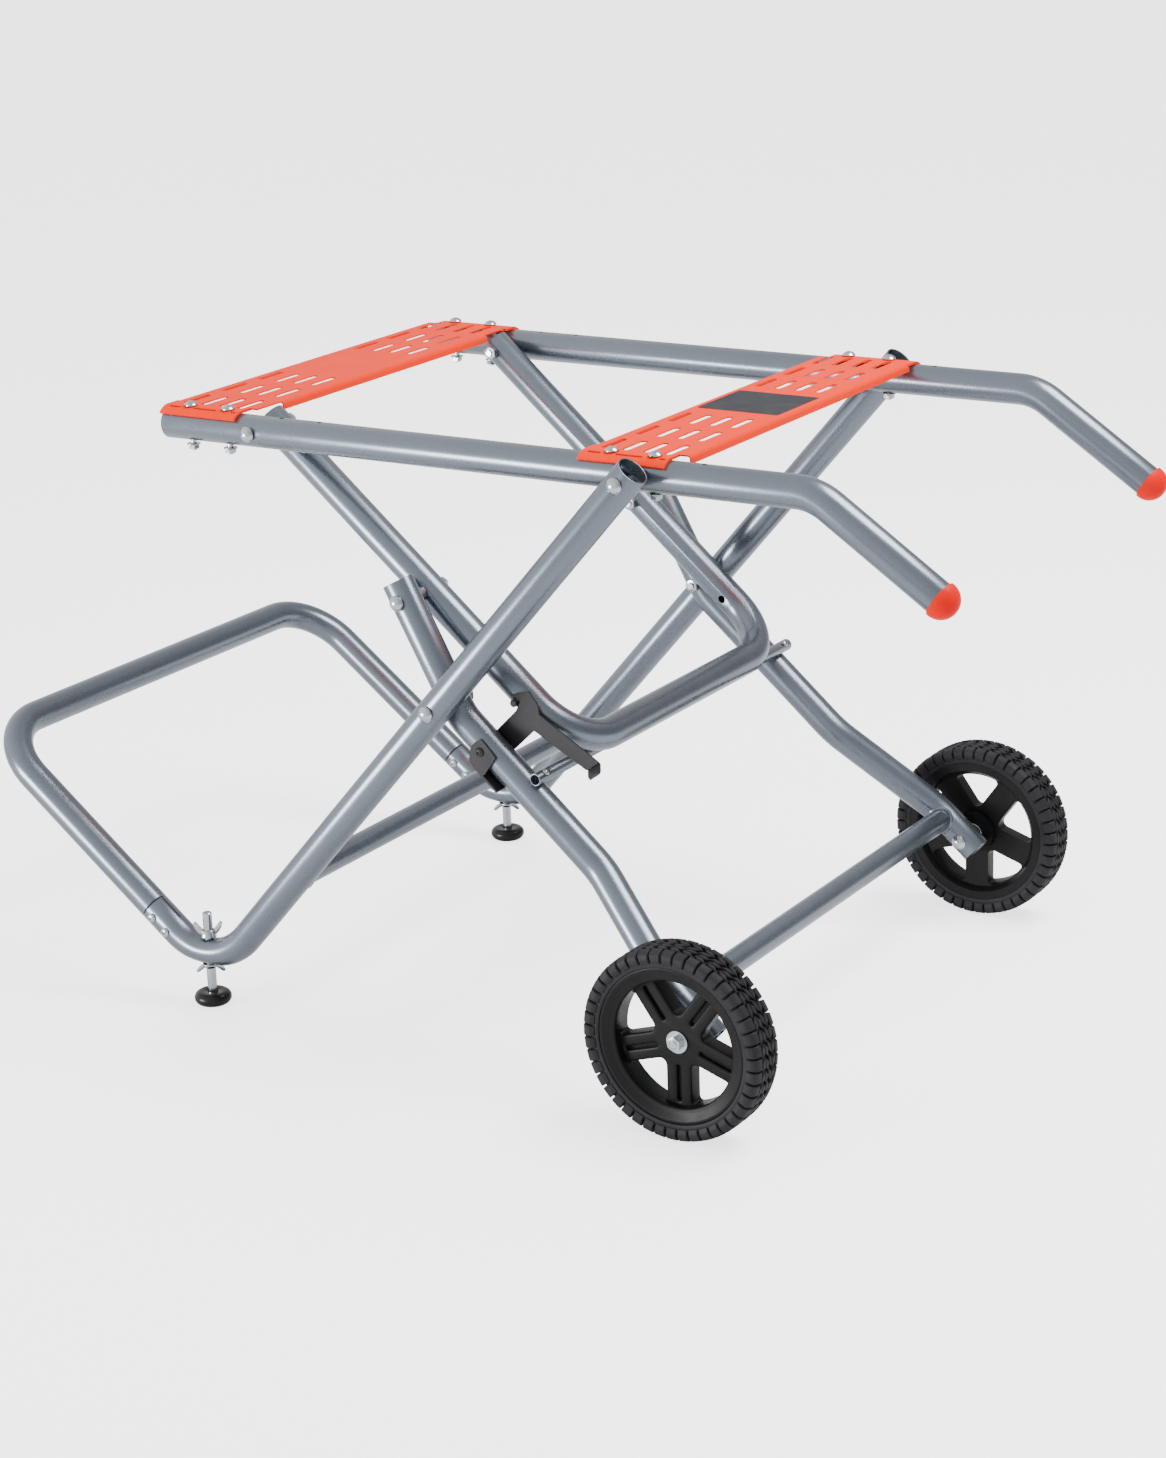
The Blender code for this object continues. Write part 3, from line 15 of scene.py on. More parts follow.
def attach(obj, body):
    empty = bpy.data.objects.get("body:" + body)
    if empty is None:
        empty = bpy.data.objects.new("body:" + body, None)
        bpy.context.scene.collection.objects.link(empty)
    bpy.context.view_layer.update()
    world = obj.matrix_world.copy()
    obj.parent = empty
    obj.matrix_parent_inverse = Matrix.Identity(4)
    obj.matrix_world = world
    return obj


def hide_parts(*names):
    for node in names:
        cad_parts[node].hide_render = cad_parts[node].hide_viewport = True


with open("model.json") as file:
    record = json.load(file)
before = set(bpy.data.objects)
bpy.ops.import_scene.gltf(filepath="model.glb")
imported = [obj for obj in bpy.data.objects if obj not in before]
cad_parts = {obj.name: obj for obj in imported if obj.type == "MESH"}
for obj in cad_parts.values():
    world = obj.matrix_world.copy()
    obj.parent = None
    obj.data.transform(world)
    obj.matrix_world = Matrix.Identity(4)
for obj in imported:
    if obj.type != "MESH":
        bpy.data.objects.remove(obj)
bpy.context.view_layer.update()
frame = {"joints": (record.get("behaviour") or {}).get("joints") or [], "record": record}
BODY_OF = {node: body for body, nodes in frame["record"]["behaviour"]["bodies"].items() for node in nodes}
print("nodes to dress:", len(BODY_OF))

# %% [markdown]
# The pivots come from the joints in the frame, so a tube drawn here always meets its bolt.
# A side point has no place across the stand yet; a piece gets that when it is made.

# %% Name the directions and the pivots
ALONG, ACROSS, UP = Vector((1, 0, 0)), Vector((0, 1, 0)), Vector((0, 0, 1))
LEFT, RIGHT = -1, 1
SIDES = {LEFT: "left", RIGHT: "right"}
JOINTS = {joint["name"]: joint for joint in frame["joints"]}


def side_point(joint):
    """A joint's place in the side view."""
    x, _, z = JOINTS[joint]["pos_m"]
    return Vector((x, 0, z))


def heading(degrees):
    """Unit vector in the side view, from +X towards +Z."""
    return Vector((math.cos(math.radians(degrees)), 0, math.sin(math.radians(degrees))))


def at(place, half):
    """A side point moved across the stand."""
    return place + ACROSS * half


MAIN_PIVOT, RAIL_PIVOT = side_point("fold"), side_point("top_fold")
BRACE_PIVOT, LATCH_PIVOT = side_point("brace_fold"), side_point("latch_turn")
AXLE = side_point("left_wheel_turn")
WHEEL_HALF = abs(JOINTS["left_wheel_turn"]["pos_m"][1])
STUD = Vector((JOINTS["left_upper_wing_turn"]["pos_m"][0], 0, 0))
FOOT_HALF_STUD = abs(JOINTS["left_upper_wing_turn"]["pos_m"][1])
UPPER_SEAT, LOWER_SEAT = [JOINTS[f"left_{name}_wing_turn"]["pos_m"][2] for name in ("upper", "lower")]
print("rails at", round(RAIL_PIVOT.z, 4), "axle at", [round(value, 4) for value in AXLE])

# %% [markdown]
# The tubes are drawn by their corners, as a bending shop does it: straight runs that meet at a corner,
# and a radius at each corner. These are the corners in the side view and the distances across.

# %% Corners, headings and distances across
LEG_HEADING, BRACE_HEADING, HANDLE_HEADING = heading(-131.578), heading(-40.812), heading(-34.0)
UPPER_HEADING, LOWER_HEADING, LOWER_UP = heading(-61.691), heading(-40.921), heading(49.079)
FOOT_CORNER, LOOP_CORNER = Vector((-0.26559, 0, 0.0336)), Vector((-0.55216, 0, 0.2569))
KNEE_CORNER, LOOSE_PIVOT = Vector((0.03454, 0, 0.34785)), Vector((-0.02548, 0, 0.45929))
CROSSBAR, ROD = Vector((0.13990, 0, 0.31648)), Vector((0.12509, 0, 0.29934))
LATCH_PIN = Vector((0.08525, 0, 0.36367))
HANDLE_CORNER, HANDLE_END = Vector((0.42651, 0, 0.6105)), Vector((0.54836, 0, 0.52831))

RAIL_HALF, LEG_HALF, FOOT_HALF, LOOP_HALF = 0.2355, 0.2688, 0.2815, 0.2790
MAIN_HALF, WHEEL_LEG_HALF, FLARED_HALF = 0.27425, 0.2402, 0.2860
BRACE_HALF, CROSSBAR_HALF, LOOSE_HALF, PIN_HALF = 0.2025, 0.1970, 0.19967, 0.19788
TUBE_R, WALL, CROSS_R, ROD_R = 0.016, 0.0015, 0.0125, 0.00635
FIT = 0.0003
print("rails are", 2 * RAIL_HALF, "apart")

# %% [markdown]
# ## Finishes
# The stand has painted tube, painted plate, moulded plastic, rubber and zinc. Real paint is never one
# flat colour: it is faintly cloudy, its gloss changes from place to place, and it has the fine ripple that
# painters call orange peel. Two node groups hold these effects, and each finish gives them its own values.

# %% Node group: cloudiness of a coating
MIX_SOCKETS = {"RGBA": (6, 7, 2), "FLOAT": (2, 3, 0)}
NOISE_LOW, NOISE_HIGH = 0.3, 0.7
RUB_SCALE = 55.0


def new_group(name, inputs, outputs):
    """A shader node group with its input and output nodes, and a place on the piece to read from."""
    group = bpy.data.node_groups.new(name, "ShaderNodeTree")
    for label, kind, value in inputs:
        socket = group.interface.new_socket(name=label, in_out="INPUT", socket_type=kind)
        socket.default_value = value
    for label, kind in outputs:
        group.interface.new_socket(name=label, in_out="OUTPUT", socket_type=kind)
    place = group.nodes.new("ShaderNodeTexCoord").outputs["Object"]
    return group, group.nodes.new("NodeGroupInput").outputs, group.nodes.new("NodeGroupOutput").inputs, place


def feed(group, socket, value):
    """Give a socket a number, or link it to another socket."""
    if isinstance(value, float):
        socket.default_value = value
    else:
        group.links.new(value, socket)


def noise(group, place, scale, detail=3.0):
    """Noise with as many cycles per metre as its scale says."""
    node = group.nodes.new("ShaderNodeTexNoise")
    for label, value in (("Vector", place), ("Scale", scale), ("Detail", detail)):
        feed(group, node.inputs[label], value)
    return node.outputs["Fac"]


def spread(group, value, low, high):
    """Stretch noise, which stays near its middle, over a whole range."""
    node = group.nodes.new("ShaderNodeMapRange")
    for label, limit in (("Value", value), ("From Min", NOISE_LOW), ("From Max", NOISE_HIGH),
                         ("To Min", low), ("To Max", high)):
        feed(group, node.inputs[label], limit)
    return node.outputs["Result"]


def mixed(group, kind, share, start, end):
    """From a start to an end by a share, for colours or for numbers."""
    node = group.nodes.new("ShaderNodeMix")
    node.data_type = kind
    first, second, result = MIX_SOCKETS[kind]
    feed(group, node.inputs["Factor"], share)
    feed(group, node.inputs[first], start)
    feed(group, node.inputs[second], end)
    return node.outputs[result]


def build_cloud_group():
    group, given, out, place = new_group(
        "coating_cloud",
        [("Light Colour", "NodeSocketColor", (0.3, 0.3, 0.3, 1)),
         ("Dark Colour", "NodeSocketColor", (0.2, 0.2, 0.2, 1)),
         ("Cloud Scale", "NodeSocketFloat", 14.0),
         ("Smooth", "NodeSocketFloat", 0.3), ("Rough", "NodeSocketFloat", 0.4)],
        [("Colour", "NodeSocketColor"), ("Roughness", "NodeSocketFloat")])
    cloud = spread(group, noise(group, place, given["Cloud Scale"]), 0.0, 1.0)
    feed(group, out["Colour"], mixed(group, "RGBA", cloud, given["Dark Colour"], given["Light Colour"]))
    rub = noise(group, place, RUB_SCALE)
    feed(group, out["Roughness"], spread(group, rub, given["Smooth"], given["Rough"]))
    return group


COATING_CLOUD = build_cloud_group()
print("made", COATING_CLOUD.name)

# %% [markdown]
# Orange peel is a ripple of about a millimetre, and metallic paint has flakes far finer than that. Both
# are bumps, so one group makes a height from two noises and turns it into a normal.

# %% Node group: ripple and grain of a surface
BUMP_DEPTH = 0.0002


def build_ripple_group():
    group, given, out, place = new_group(
        "surface_ripple",
        [("Ripple Scale", "NodeSocketFloat", 900.0), ("Grain Scale", "NodeSocketFloat", 4000.0),
         ("Grain Share", "NodeSocketFloat", 0.3), ("Height", "NodeSocketFloat", 0.2)],
        [("Normal", "NodeSocketVector")])
    ripple, grain = [noise(group, place, given[label], 2.0) for label in ("Ripple Scale", "Grain Scale")]
    bump = group.nodes.new("ShaderNodeBump")
    feed(group, bump.inputs["Distance"], BUMP_DEPTH)
    feed(group, bump.inputs["Strength"], given["Height"])
    feed(group, bump.inputs["Height"], mixed(group, "FLOAT", given["Grain Share"], ripple, grain))
    feed(group, out["Normal"], bump.outputs["Normal"])
    return group


SURFACE_RIPPLE = build_ripple_group()
print("made", SURFACE_RIPPLE.name)

# %% [markdown]
# A finish is one Principled shader fed by both groups. Metallic and coat are the same all over, so they
# are set on the shader itself.

# %% Build the finishes
COAT_ROUGHNESS = 0.12


def finish(name, light, dark, gloss, ripple, metallic=0.0, coat=0.0, specular=0.5, cloud=14.0):
    """A coating from its light and dark colour, its least and most roughness, and its ripple's values."""
    material = bpy.data.materials.new(name)
    material.use_nodes = True
    nodes, links = material.node_tree.nodes, material.node_tree.links
    shader = nodes["Principled BSDF"].inputs
    cloudy, rippled = nodes.new("ShaderNodeGroup"), nodes.new("ShaderNodeGroup")
    cloudy.node_tree, rippled.node_tree = COATING_CLOUD, SURFACE_RIPPLE
    for socket, value in zip(cloudy.inputs, ((*light, 1), (*dark, 1), cloud, *gloss)):
        socket.default_value = value
    for socket, value in zip(rippled.inputs, ripple):
        socket.default_value = value
    links.new(cloudy.outputs["Colour"], shader["Base Color"])
    links.new(cloudy.outputs["Roughness"], shader["Roughness"])
    links.new(rippled.outputs["Normal"], shader["Normal"])
    for label, value in (("Metallic", metallic), ("Specular IOR Level", specular),
                         ("Coat Weight", coat), ("Coat Roughness", COAT_ROUGHNESS)):
        shader[label].default_value = value
    return material


TUBE_PAINT = finish("blue_grey_tube_paint", (0.142, 0.164, 0.196), (0.133, 0.154, 0.185),
                    (0.26, 0.30), metallic=0.82, coat=0.12, ripple=(450, 1800, 0.15, 0.003))
PLATE_PAINT = finish("coral_plate_paint", (0.84, 0.027, 0.001), (0.81, 0.025, 0.001),
                     (0.36, 0.42), specular=0.02, cloud=10.0, ripple=(700, 2600, 0.2, 0.04))
CAP_PLASTIC = finish("red_cap_plastic", (0.72, 0.003, 0.0005), (0.68, 0.003, 0.0005),
                     (0.26, 0.32), specular=0.05, ripple=(500, 2500, 0.3, 0.02))
ZINC = finish("bright_zinc", (0.46, 0.485, 0.51), (0.38, 0.41, 0.44),
              (0.16, 0.26), metallic=1.0, cloud=120.0, ripple=(1200, 3000, 0.5, 0.015))
LATCH_STEEL = finish("charcoal_latch_paint", (0.022, 0.021, 0.024), (0.016, 0.015, 0.018),
                     (0.38, 0.48), specular=0.22, cloud=30.0, ripple=(1200, 3200, 0.4, 0.06))
BLACK_BOLT = finish("black_oxide_bolt", (0.016, 0.016, 0.018), (0.010, 0.010, 0.011),
                    (0.28, 0.38), specular=0.3, cloud=120.0, ripple=(1200, 3000, 0.5, 0.02))
TYRE_RUBBER = finish("tyre_rubber", (0.0175, 0.0170, 0.0200), (0.0125, 0.0120, 0.0140),
                     (0.55, 0.66), specular=0.18, cloud=40.0, ripple=(600, 2600, 0.5, 0.15))
WHEEL_PLASTIC = finish("black_wheel_plastic", (0.0060, 0.0060, 0.0064), (0.0045, 0.0045, 0.0048),
                       (0.36, 0.46), specular=0.14, cloud=30.0, ripple=(900, 3000, 0.4, 0.06))
PAD_RUBBER = finish("foot_pad_rubber", (0.0070, 0.0070, 0.0075), (0.0050, 0.0050, 0.0050),
                    (0.26, 0.34), specular=0.25, cloud=60.0, ripple=(700, 2600, 0.4, 0.05))
LABEL_FILM = finish("blank_label_film", (0.034, 0.035, 0.039), (0.028, 0.029, 0.033),
                    (0.40, 0.50), specular=0.02, cloud=25.0, ripple=(400, 2600, 0.2, 0.02))
print("finishes:", len(bpy.data.materials))

# %% [markdown]
# ## Working by hand, in code
# Each operator acts on what is selected. The frame's own pieces come in selected, so everything is
# deselected first. These small helpers start a piece, pick parts of it by a rule, and shape it.

# %% Helpers for modelling
NEAR = 1e-5


def deselect():
    bpy.ops.object.select_all(action="DESELECT")


def hold(item):
    """Make a piece the active one and the only one selected."""
    deselect()
    item.select_set(True)
    bpy.context.view_layer.objects.active = item


def settle():
    """Put the active object's place, turn and size into its mesh."""
    bpy.ops.object.transform_apply(location=True, rotation=True, scale=True)
    return bpy.context.object


def discard(*items):
    for item in items:
        bpy.data.objects.remove(item, do_unlink=True)


def edit(mode="VERT"):
    bpy.ops.object.mode_set(mode="EDIT")
    bpy.ops.mesh.select_mode(type=mode)


def leave():
    bpy.ops.object.mode_set(mode="OBJECT")


def select_all(action="SELECT"):
    bpy.ops.mesh.select_all(action=action)


def pick(item, kind, rule):
    """Go to edit mode with only the vertices or edges selected that follow a rule."""
    mode = {"vertices": "VERT", "edges": "EDGE"}[kind]
    edit(mode)
    select_all("DESELECT")
    leave()
    for part in getattr(item.data, kind):
        part.select = rule(part)
    found = sum(part.select for part in getattr(item.data, kind))
    edit(mode)
    return found


def ends(item, edge):
    """The two end points of an edge."""
    return [item.data.vertices[index].co for index in edge.vertices]


def extrude(step):
    bpy.ops.mesh.extrude_region_move(TRANSFORM_OT_translate={"value": step})


def face_out():
    """Merge doubles and turn every face outwards."""
    select_all()
    bpy.ops.mesh.remove_doubles(threshold=NEAR)
    bpy.ops.mesh.normals_make_consistent(inside=False)
    leave()


def turn_to(direction):
    """Euler angles that stand local Z along a direction."""
    return direction.to_track_quat("Z", "Y").to_euler()


def bar(centre, direction, radius, length, sides):
    """A plain bar about a centre, round or with few sides."""
    deselect()
    bpy.ops.mesh.primitive_cylinder_add(vertices=sides, radius=radius, depth=length, location=centre,
                                        rotation=turn_to(direction))
    return settle()


def block(centre, size, turn=(0, 0, 0)):
    """A plain block about a centre."""
    deselect()
    bpy.ops.mesh.primitive_cube_add(size=1, location=centre, rotation=turn)
    bpy.context.object.scale = size
    return settle()


def block_between(low, high):
    return block([(a + b) / 2 for a, b in zip(low, high)], [b - a for a, b in zip(low, high)])


def joined(items):
    """Several pieces as one object, each still its own closed shell."""
    hold(items[0])
    for item in items:
        item.select_set(True)
    bpy.ops.object.join()
    return bpy.context.object


def copied(item, matrix):
    """A copy with its own mesh, moved by a matrix that goes into the mesh."""
    twin = item.copy()
    twin.data = item.data.copy()
    bpy.context.scene.collection.objects.link(twin)
    twin.data.transform(matrix)
    return twin


# %% [markdown]
# Modifiers finish a shape: a boolean cuts or welds, a bevel rounds edges, and weighted normals let each
# large face keep its own normal, so that a rounded edge shades only itself. Each is applied at once. A
# piece that is done is dressed: it gets its finish, and it stands for its node on the body it rides on.

# %% Helpers for modifiers and for dressing a node
FLAT = math.radians(0.5)
TUBE_ROUND, TUBE_EDGE_DEGREES = 0.0003, 60


def apply(item, kind, **values):
    """Add a modifier to a piece and apply it at once."""
    hold(item)
    step = item.modifiers.new(kind.lower(), kind)
    for name, value in values.items():
        setattr(step, name, value)
    bpy.ops.object.modifier_apply(modifier=step.name)
    return item


def combine(item, other, operation):
    """Shape a piece with another one, which is used up."""
    apply(item, "BOOLEAN", operation=operation, object=other, solver="EXACT")
    discard(other)
    return item


def cut(item, cutter):
    return combine(item, cutter, "DIFFERENCE")


def merge_flat(item):
    """Join the faces that lie in one plane."""
    return apply(item, "DECIMATE", decimate_type="DISSOLVE", angle_limit=FLAT)


def soften(item, width, segments=2, degrees=40):
    """Round the sharp edges, as paint and moulding do."""
    return apply(item, "BEVEL", width=width, segments=segments, limit_method="ANGLE",
                 angle_limit=math.radians(degrees), harden_normals=False)


def flatten_shading(item):
    return apply(item, "WEIGHTED_NORMAL", keep_sharp=True, weight=60)


def smooth(item, degrees):
    hold(item)
    bpy.ops.object.shade_smooth_by_angle(angle=math.radians(degrees))


def dress(item, node, material, degrees=35):
    """Let a finished piece stand for a node: its finish and the body it rides on."""
    smooth(item, degrees)
    item.name = node + "_finished"
    item.data.name = item.name
    item.data.materials.clear()
    item.data.materials.append(material)
    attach(item, BODY_OF[node])
    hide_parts(node)
    print(node, len(item.data.polygons), "faces")
    return item


def dress_sawn(item, node):
    """Dress a tube after breaking the edges that the saw and the drill left."""
    return dress(soften(item, TUBE_ROUND, degrees=TUBE_EDGE_DEGREES), node, TUBE_PAINT)


# %% [markdown]
# ## Tubes
# A bent tube could be a bevelled curve, but a tube bender works differently: it pushes the tube straight
# and then turns it about a centre. The mesh tools do the same. A circle is extruded along a run, and its
# last ring is spun about the bend's centre, so every bend is a true arc. A swaged end is a narrower ring.

# %% Helper: push and bend a tube
TUBE_SIDES, BEND_STEP, LEAST_STEPS = 40, 5.0, 3


def resize_ring(share, centre):
    bpy.ops.transform.resize(value=(share, share, share), center_override=centre)


def bent_skin(corners, radii, radius, sides, swage):
    """An open tube surface along corners that are rounded to radii. A swage is a share and a length."""
    start, ahead = corners[0], (corners[1] - corners[0]).normalized()
    deselect()
    bpy.ops.mesh.primitive_circle_add(vertices=sides, radius=radius, location=start, rotation=turn_to(ahead))
    item = settle()
    edit()
    select_all()
    here = start
    if swage:
        share, length = swage
        resize_ring(share, start)
        extrude(ahead * length)
        extrude(ahead * WALL)
        here = start + ahead * (length + WALL)
        resize_ring(1 / share, here)
    for before, corner, after, bend in zip(corners, corners[1:], corners[2:], radii):
        back, ahead = (corner - before).normalized(), (after - corner).normalized()
        turn = back.angle(ahead)
        entry = corner - back * (bend * math.tan(turn / 2))
        extrude(entry - here)
        axis = back.cross(ahead).normalized()
        bpy.ops.mesh.spin(steps=max(LEAST_STEPS, math.ceil(math.degrees(turn) / BEND_STEP)), angle=turn,
                          center=entry + axis.cross(back) * bend, axis=-axis)
        here = corner + ahead * (bend * math.tan(turn / 2))
    if swage:
        ahead = (corners[-1] - corners[-2]).normalized()
        shoulder = corners[-1] - ahead * (length + WALL)
        extrude(shoulder - here)
        extrude(ahead * WALL)
        resize_ring(share, shoulder + ahead * WALL)
        extrude(ahead * length)
    else:
        extrude(corners[-1] - here)
    face_out()
    return item


def tube(corners, radii, radius=TUBE_R, wall=WALL, sides=TUBE_SIDES, swage=None):
    """A tube with a wall, open at both ends."""
    skin = bent_skin(corners, radii, radius, sides, swage)
    return apply(skin, "SOLIDIFY", thickness=wall, offset=-1, use_even_offset=True)


# %% [markdown]
# The two rails run straight from their open ends to the handles and bend down 34 degrees. Small holes
# are drilled in their tops. The holes are cut before the edges are softened.

# %% Rails
RAIL_FREE_END, HANDLE_BEND = 0.110, 0.060
RAIL_HOLES, RAIL_HOLE_R, RAIL_HOLE_DEPTH, DRILL_SIDES = (0.032, 0.0786, 0.514), 0.0025, 0.03, 24


def drill(item, place, direction, radius, length):
    """Cut a round hole that starts at a place."""
    return cut(item, bar(place + direction * length / 2, direction, radius, length, DRILL_SIDES))


for side, word in SIDES.items():
    half = side * RAIL_HALF
    rail = tube([at(BRACE_PIVOT - ALONG * RAIL_FREE_END, half), at(HANDLE_CORNER, half),
                 at(HANDLE_END, half)], [HANDLE_BEND])
    for reach in RAIL_HOLES:
        rail = drill(rail, at(BRACE_PIVOT + ALONG * reach, half), UP, RAIL_HOLE_R, RAIL_HOLE_DEPTH)
    dress_sawn(rail, word + "_rail")

# %% [markdown]
# Each outer leg comes down from the rail, turns round the foot bend and stops at the seam, where the
# rear loop plugs in. The real tube is pressed a little flat where the stud passes, so the rings there are
# squeezed with a falloff. A saw cut runs back along its upper side from the seam.

# %% Legs
LEG_TOP, LEG_TAPER, FOOT_BEND, SEAM = 0.0155, 0.00026, 0.068, 0.0995
PRESSED, PRESS_HALF, PRESS_TOP, PRESS_FADE, STUD_LINE_Z = 0.875, 0.006, 0.09, 0.030, 0.05845
SAW_CUT = (0.0015, 0.060, 0.016)


def leg_corners(side):
    """The leg's top, the foot bend's corner and the loop's corner."""
    return (at(RAIL_PIVOT - LEG_HEADING * LEG_TOP, side * (LEG_HALF - LEG_TAPER)),
            at(FOOT_CORNER, side * FOOT_HALF), at(LOOP_CORNER, side * LOOP_HALF))


def seam_of(side):
    """Where leg and loop meet, and the direction from foot to loop."""
    _, foot, loop = leg_corners(side)
    run = (loop - foot).normalized()
    return foot + run * SEAM, run


for side, word in SIDES.items():
    top, foot, _ = leg_corners(side)
    seam, run = seam_of(side)
    leg = tube([top, foot, seam], [FOOT_BEND])
    pick(leg, "vertices", lambda v: abs(v.co.x - STUD.x) < PRESS_HALF and v.co.z < PRESS_TOP)
    bpy.ops.transform.resize(value=(1, 1, PRESSED),
                             center_override=(STUD.x, side * FOOT_HALF_STUD, STUD_LINE_Z),
                             use_proportional_edit=True, proportional_edit_falloff="SMOOTH",
                             proportional_size=PRESS_FADE)
    leave()
    over = ACROSS.cross(run).normalized()
    turn = Matrix((run.cross(over), run, over)).transposed().to_euler()
    cut(leg, block(seam + over * TUBE_R, SAW_CUT, turn))
    dress_sawn(leg, word + "_leg")

# %% [markdown]
# The rear loop is one tube. Its ends are swaged thinner and slide into the legs, so the same bender starts
# and ends with a narrower ring.

# %% Rear loop
SPIGOT, SPIGOT_PLAY, LOOP_BEND = 0.034, 0.0004, 0.067
SWAGE = 1 - (WALL + SPIGOT_PLAY) / TUBE_R
(seam_l, run_l), (seam_r, run_r) = seam_of(LEFT), seam_of(RIGHT)
loop = tube([seam_l - run_l * SPIGOT, at(LOOP_CORNER, -LOOP_HALF), at(LOOP_CORNER, LOOP_HALF),
             seam_r - run_r * SPIGOT], [LOOP_BEND, LOOP_BEND], swage=(SWAGE, SPIGOT + FIT))
dress(loop, "base_loop", TUBE_PAINT)

# %% [markdown]
# The wheel legs have a knee at the main pivot and flare outwards low down, so that the wheels stand clear
# of the outer legs. Their upper and lower ends are open.

# %% Wheel legs
WHEEL_TOP, FLARE_START, FLARE_LENGTH, AXLE_TAIL = 0.020, 0.2066, 0.135, 0.018
KNEE_BEND, FLARE_BEND = 0.060, 0.080
for side, word in SIDES.items():
    inner, outer = side * WHEEL_LEG_HALF, side * FLARED_HALF
    leg = tube([at(LOOSE_PIVOT - UPPER_HEADING * WHEEL_TOP, inner), at(KNEE_CORNER, inner),
                at(KNEE_CORNER + LOWER_HEADING * FLARE_START, inner),
                at(KNEE_CORNER + LOWER_HEADING * (FLARE_START + FLARE_LENGTH), outer),
                at(AXLE + LOWER_HEADING * AXLE_TAIL, outer)], [KNEE_BEND, FLARE_BEND, FLARE_BEND])
    dress_sawn(leg, word + "_wheel_leg")

# %% [markdown]
# The brace is a U of the same tube. Its crossbar rests on the stop rod. The right arm has an empty hole
# where the left one holds the latch's pin.

# %% Brace
BRACE_TOP, BRACE_BEND, PIN_HOLE_R, PIN_HOLE_DEPTH = 0.011, 0.062, 0.0042, 0.04
top_half = BRACE_HALF + (BRACE_HALF - CROSSBAR_HALF) * BRACE_TOP / (CROSSBAR - BRACE_PIVOT).length
brace_top = BRACE_PIVOT - BRACE_HEADING * BRACE_TOP
brace = tube([at(brace_top, -top_half), at(CROSSBAR, -CROSSBAR_HALF), at(CROSSBAR, CROSSBAR_HALF),
              at(brace_top, top_half)], [BRACE_BEND, BRACE_BEND])
drill(brace, at(LATCH_PIN, PIN_HALF - PIN_HOLE_DEPTH / 2), ACROSS, PIN_HOLE_R, PIN_HOLE_DEPTH)
dress_sawn(brace, "u_brace")

# %% [markdown]
# Two thinner tubes are welded across, one between the outer legs and one between the wheel legs. A plain
# bar stands in for each leg. A ring that is pressed onto the bar follows the curve where round meets round,
# and is thickened into the weld bead. Then the bar is cut from the tube's end, which copes it.

# %% Cross tubes and their weld beads
BEAD_R, BEAD_SIDES, BEAD_START, CORE_LENGTH, COPE = 0.0021, 64, 0.03, 0.08, 0.004
LEG_CROSS_UP, LEG_CROSS_HALF, WHEEL_CROSS_UP = 0.1673, 0.27874, 0.0320


def weld_bead(place, side, half, core):
    """A ring pressed outwards onto a bar, then thickened."""
    deselect()
    bpy.ops.mesh.primitive_circle_add(vertices=BEAD_SIDES, radius=CROSS_R + BEAD_R / 3,
                                      location=at(place, side * (half - BEAD_START)),
                                      rotation=turn_to(ACROSS))
    ring = settle()
    apply(ring, "SHRINKWRAP", target=core, wrap_method="PROJECT", use_project_y=True, use_project_x=False,
          use_project_z=False, use_negative_direction=side < 0, use_positive_direction=side > 0)
    bpy.ops.object.convert(target="CURVE")
    ring = bpy.context.object
    ring.data.bevel_depth, ring.data.bevel_resolution = BEAD_R, 2
    bpy.ops.object.convert(target="MESH")
    return bpy.context.object


for node, place, half, leg_heading in (
        ("leg_cross_tube", FOOT_CORNER - LEG_HEADING * LEG_CROSS_UP, LEG_CROSS_HALF, LEG_HEADING),
        ("wheel_cross_tube", AXLE - LOWER_HEADING * WHEEL_CROSS_UP, FLARED_HALF, LOWER_HEADING)):
    cross = tube([at(place, COPE - half), at(place, half - COPE)], [], CROSS_R)
    beads = []
    for side in SIDES:
        core = bar(at(place, side * half), leg_heading, TUBE_R + FIT, CORE_LENGTH, BEAD_SIDES)
        beads.append(weld_bead(place, side, half, core))
        cut(cross, core)
    dress(joined([cross] + beads), node, TUBE_PAINT)

# %% [markdown]
# The stop rod is a thin open tube that lies on the wheel legs. A screw goes through it into each leg.

# %% Stop rod
ROD_HALF, ROD_WALL, ROD_SIDES = 0.253, 0.0014, 32
dress_sawn(tube([at(ROD, -ROD_HALF), at(ROD, ROD_HALF)], [], ROD_R, ROD_WALL, ROD_SIDES), "stop_rod")

# %% [markdown]
# ## Turned pieces
# Bolt heads, studs, caps and pads are all turned on a lathe or shaped in a round mould. A vertex is drawn
# along half of the section and the line is spun round, the same way for each. The section's first numbers
# are distances from the axis and its second numbers are heights.

# %% Helpers: draw a line, spin it round, stand it somewhere
SEED, HEAD_RISE, HEAD_EDGE, TIP, TIP_DEPTH = 0.001, 0.75, 0.0004, 0.0006, 0.0007


def draw(points):
    """A line of edges, made from one vertex that is extruded from point to point."""
    deselect()
    bpy.ops.mesh.primitive_plane_add(size=SEED, location=points[0])
    item = settle()
    edit()
    select_all()
    bpy.ops.mesh.merge(type="CENTER")
    for here, there in zip(points, points[1:]):
        extrude(there - here)
    return item


def lathe(section, steps=48, ring=False):
    """A turned piece round Z. A ring's section ends where it began."""
    points = [Vector((radius, 0, height)) for radius, height in section]
    item = draw(points + points[:1] if ring else points)
    select_all()
    bpy.ops.mesh.remove_doubles(threshold=NEAR / 2)
    select_all()
    bpy.ops.mesh.spin(steps=steps, angle=2 * math.pi, center=(0, 0, 0), axis=(0, 0, 1))
    face_out()
    return item


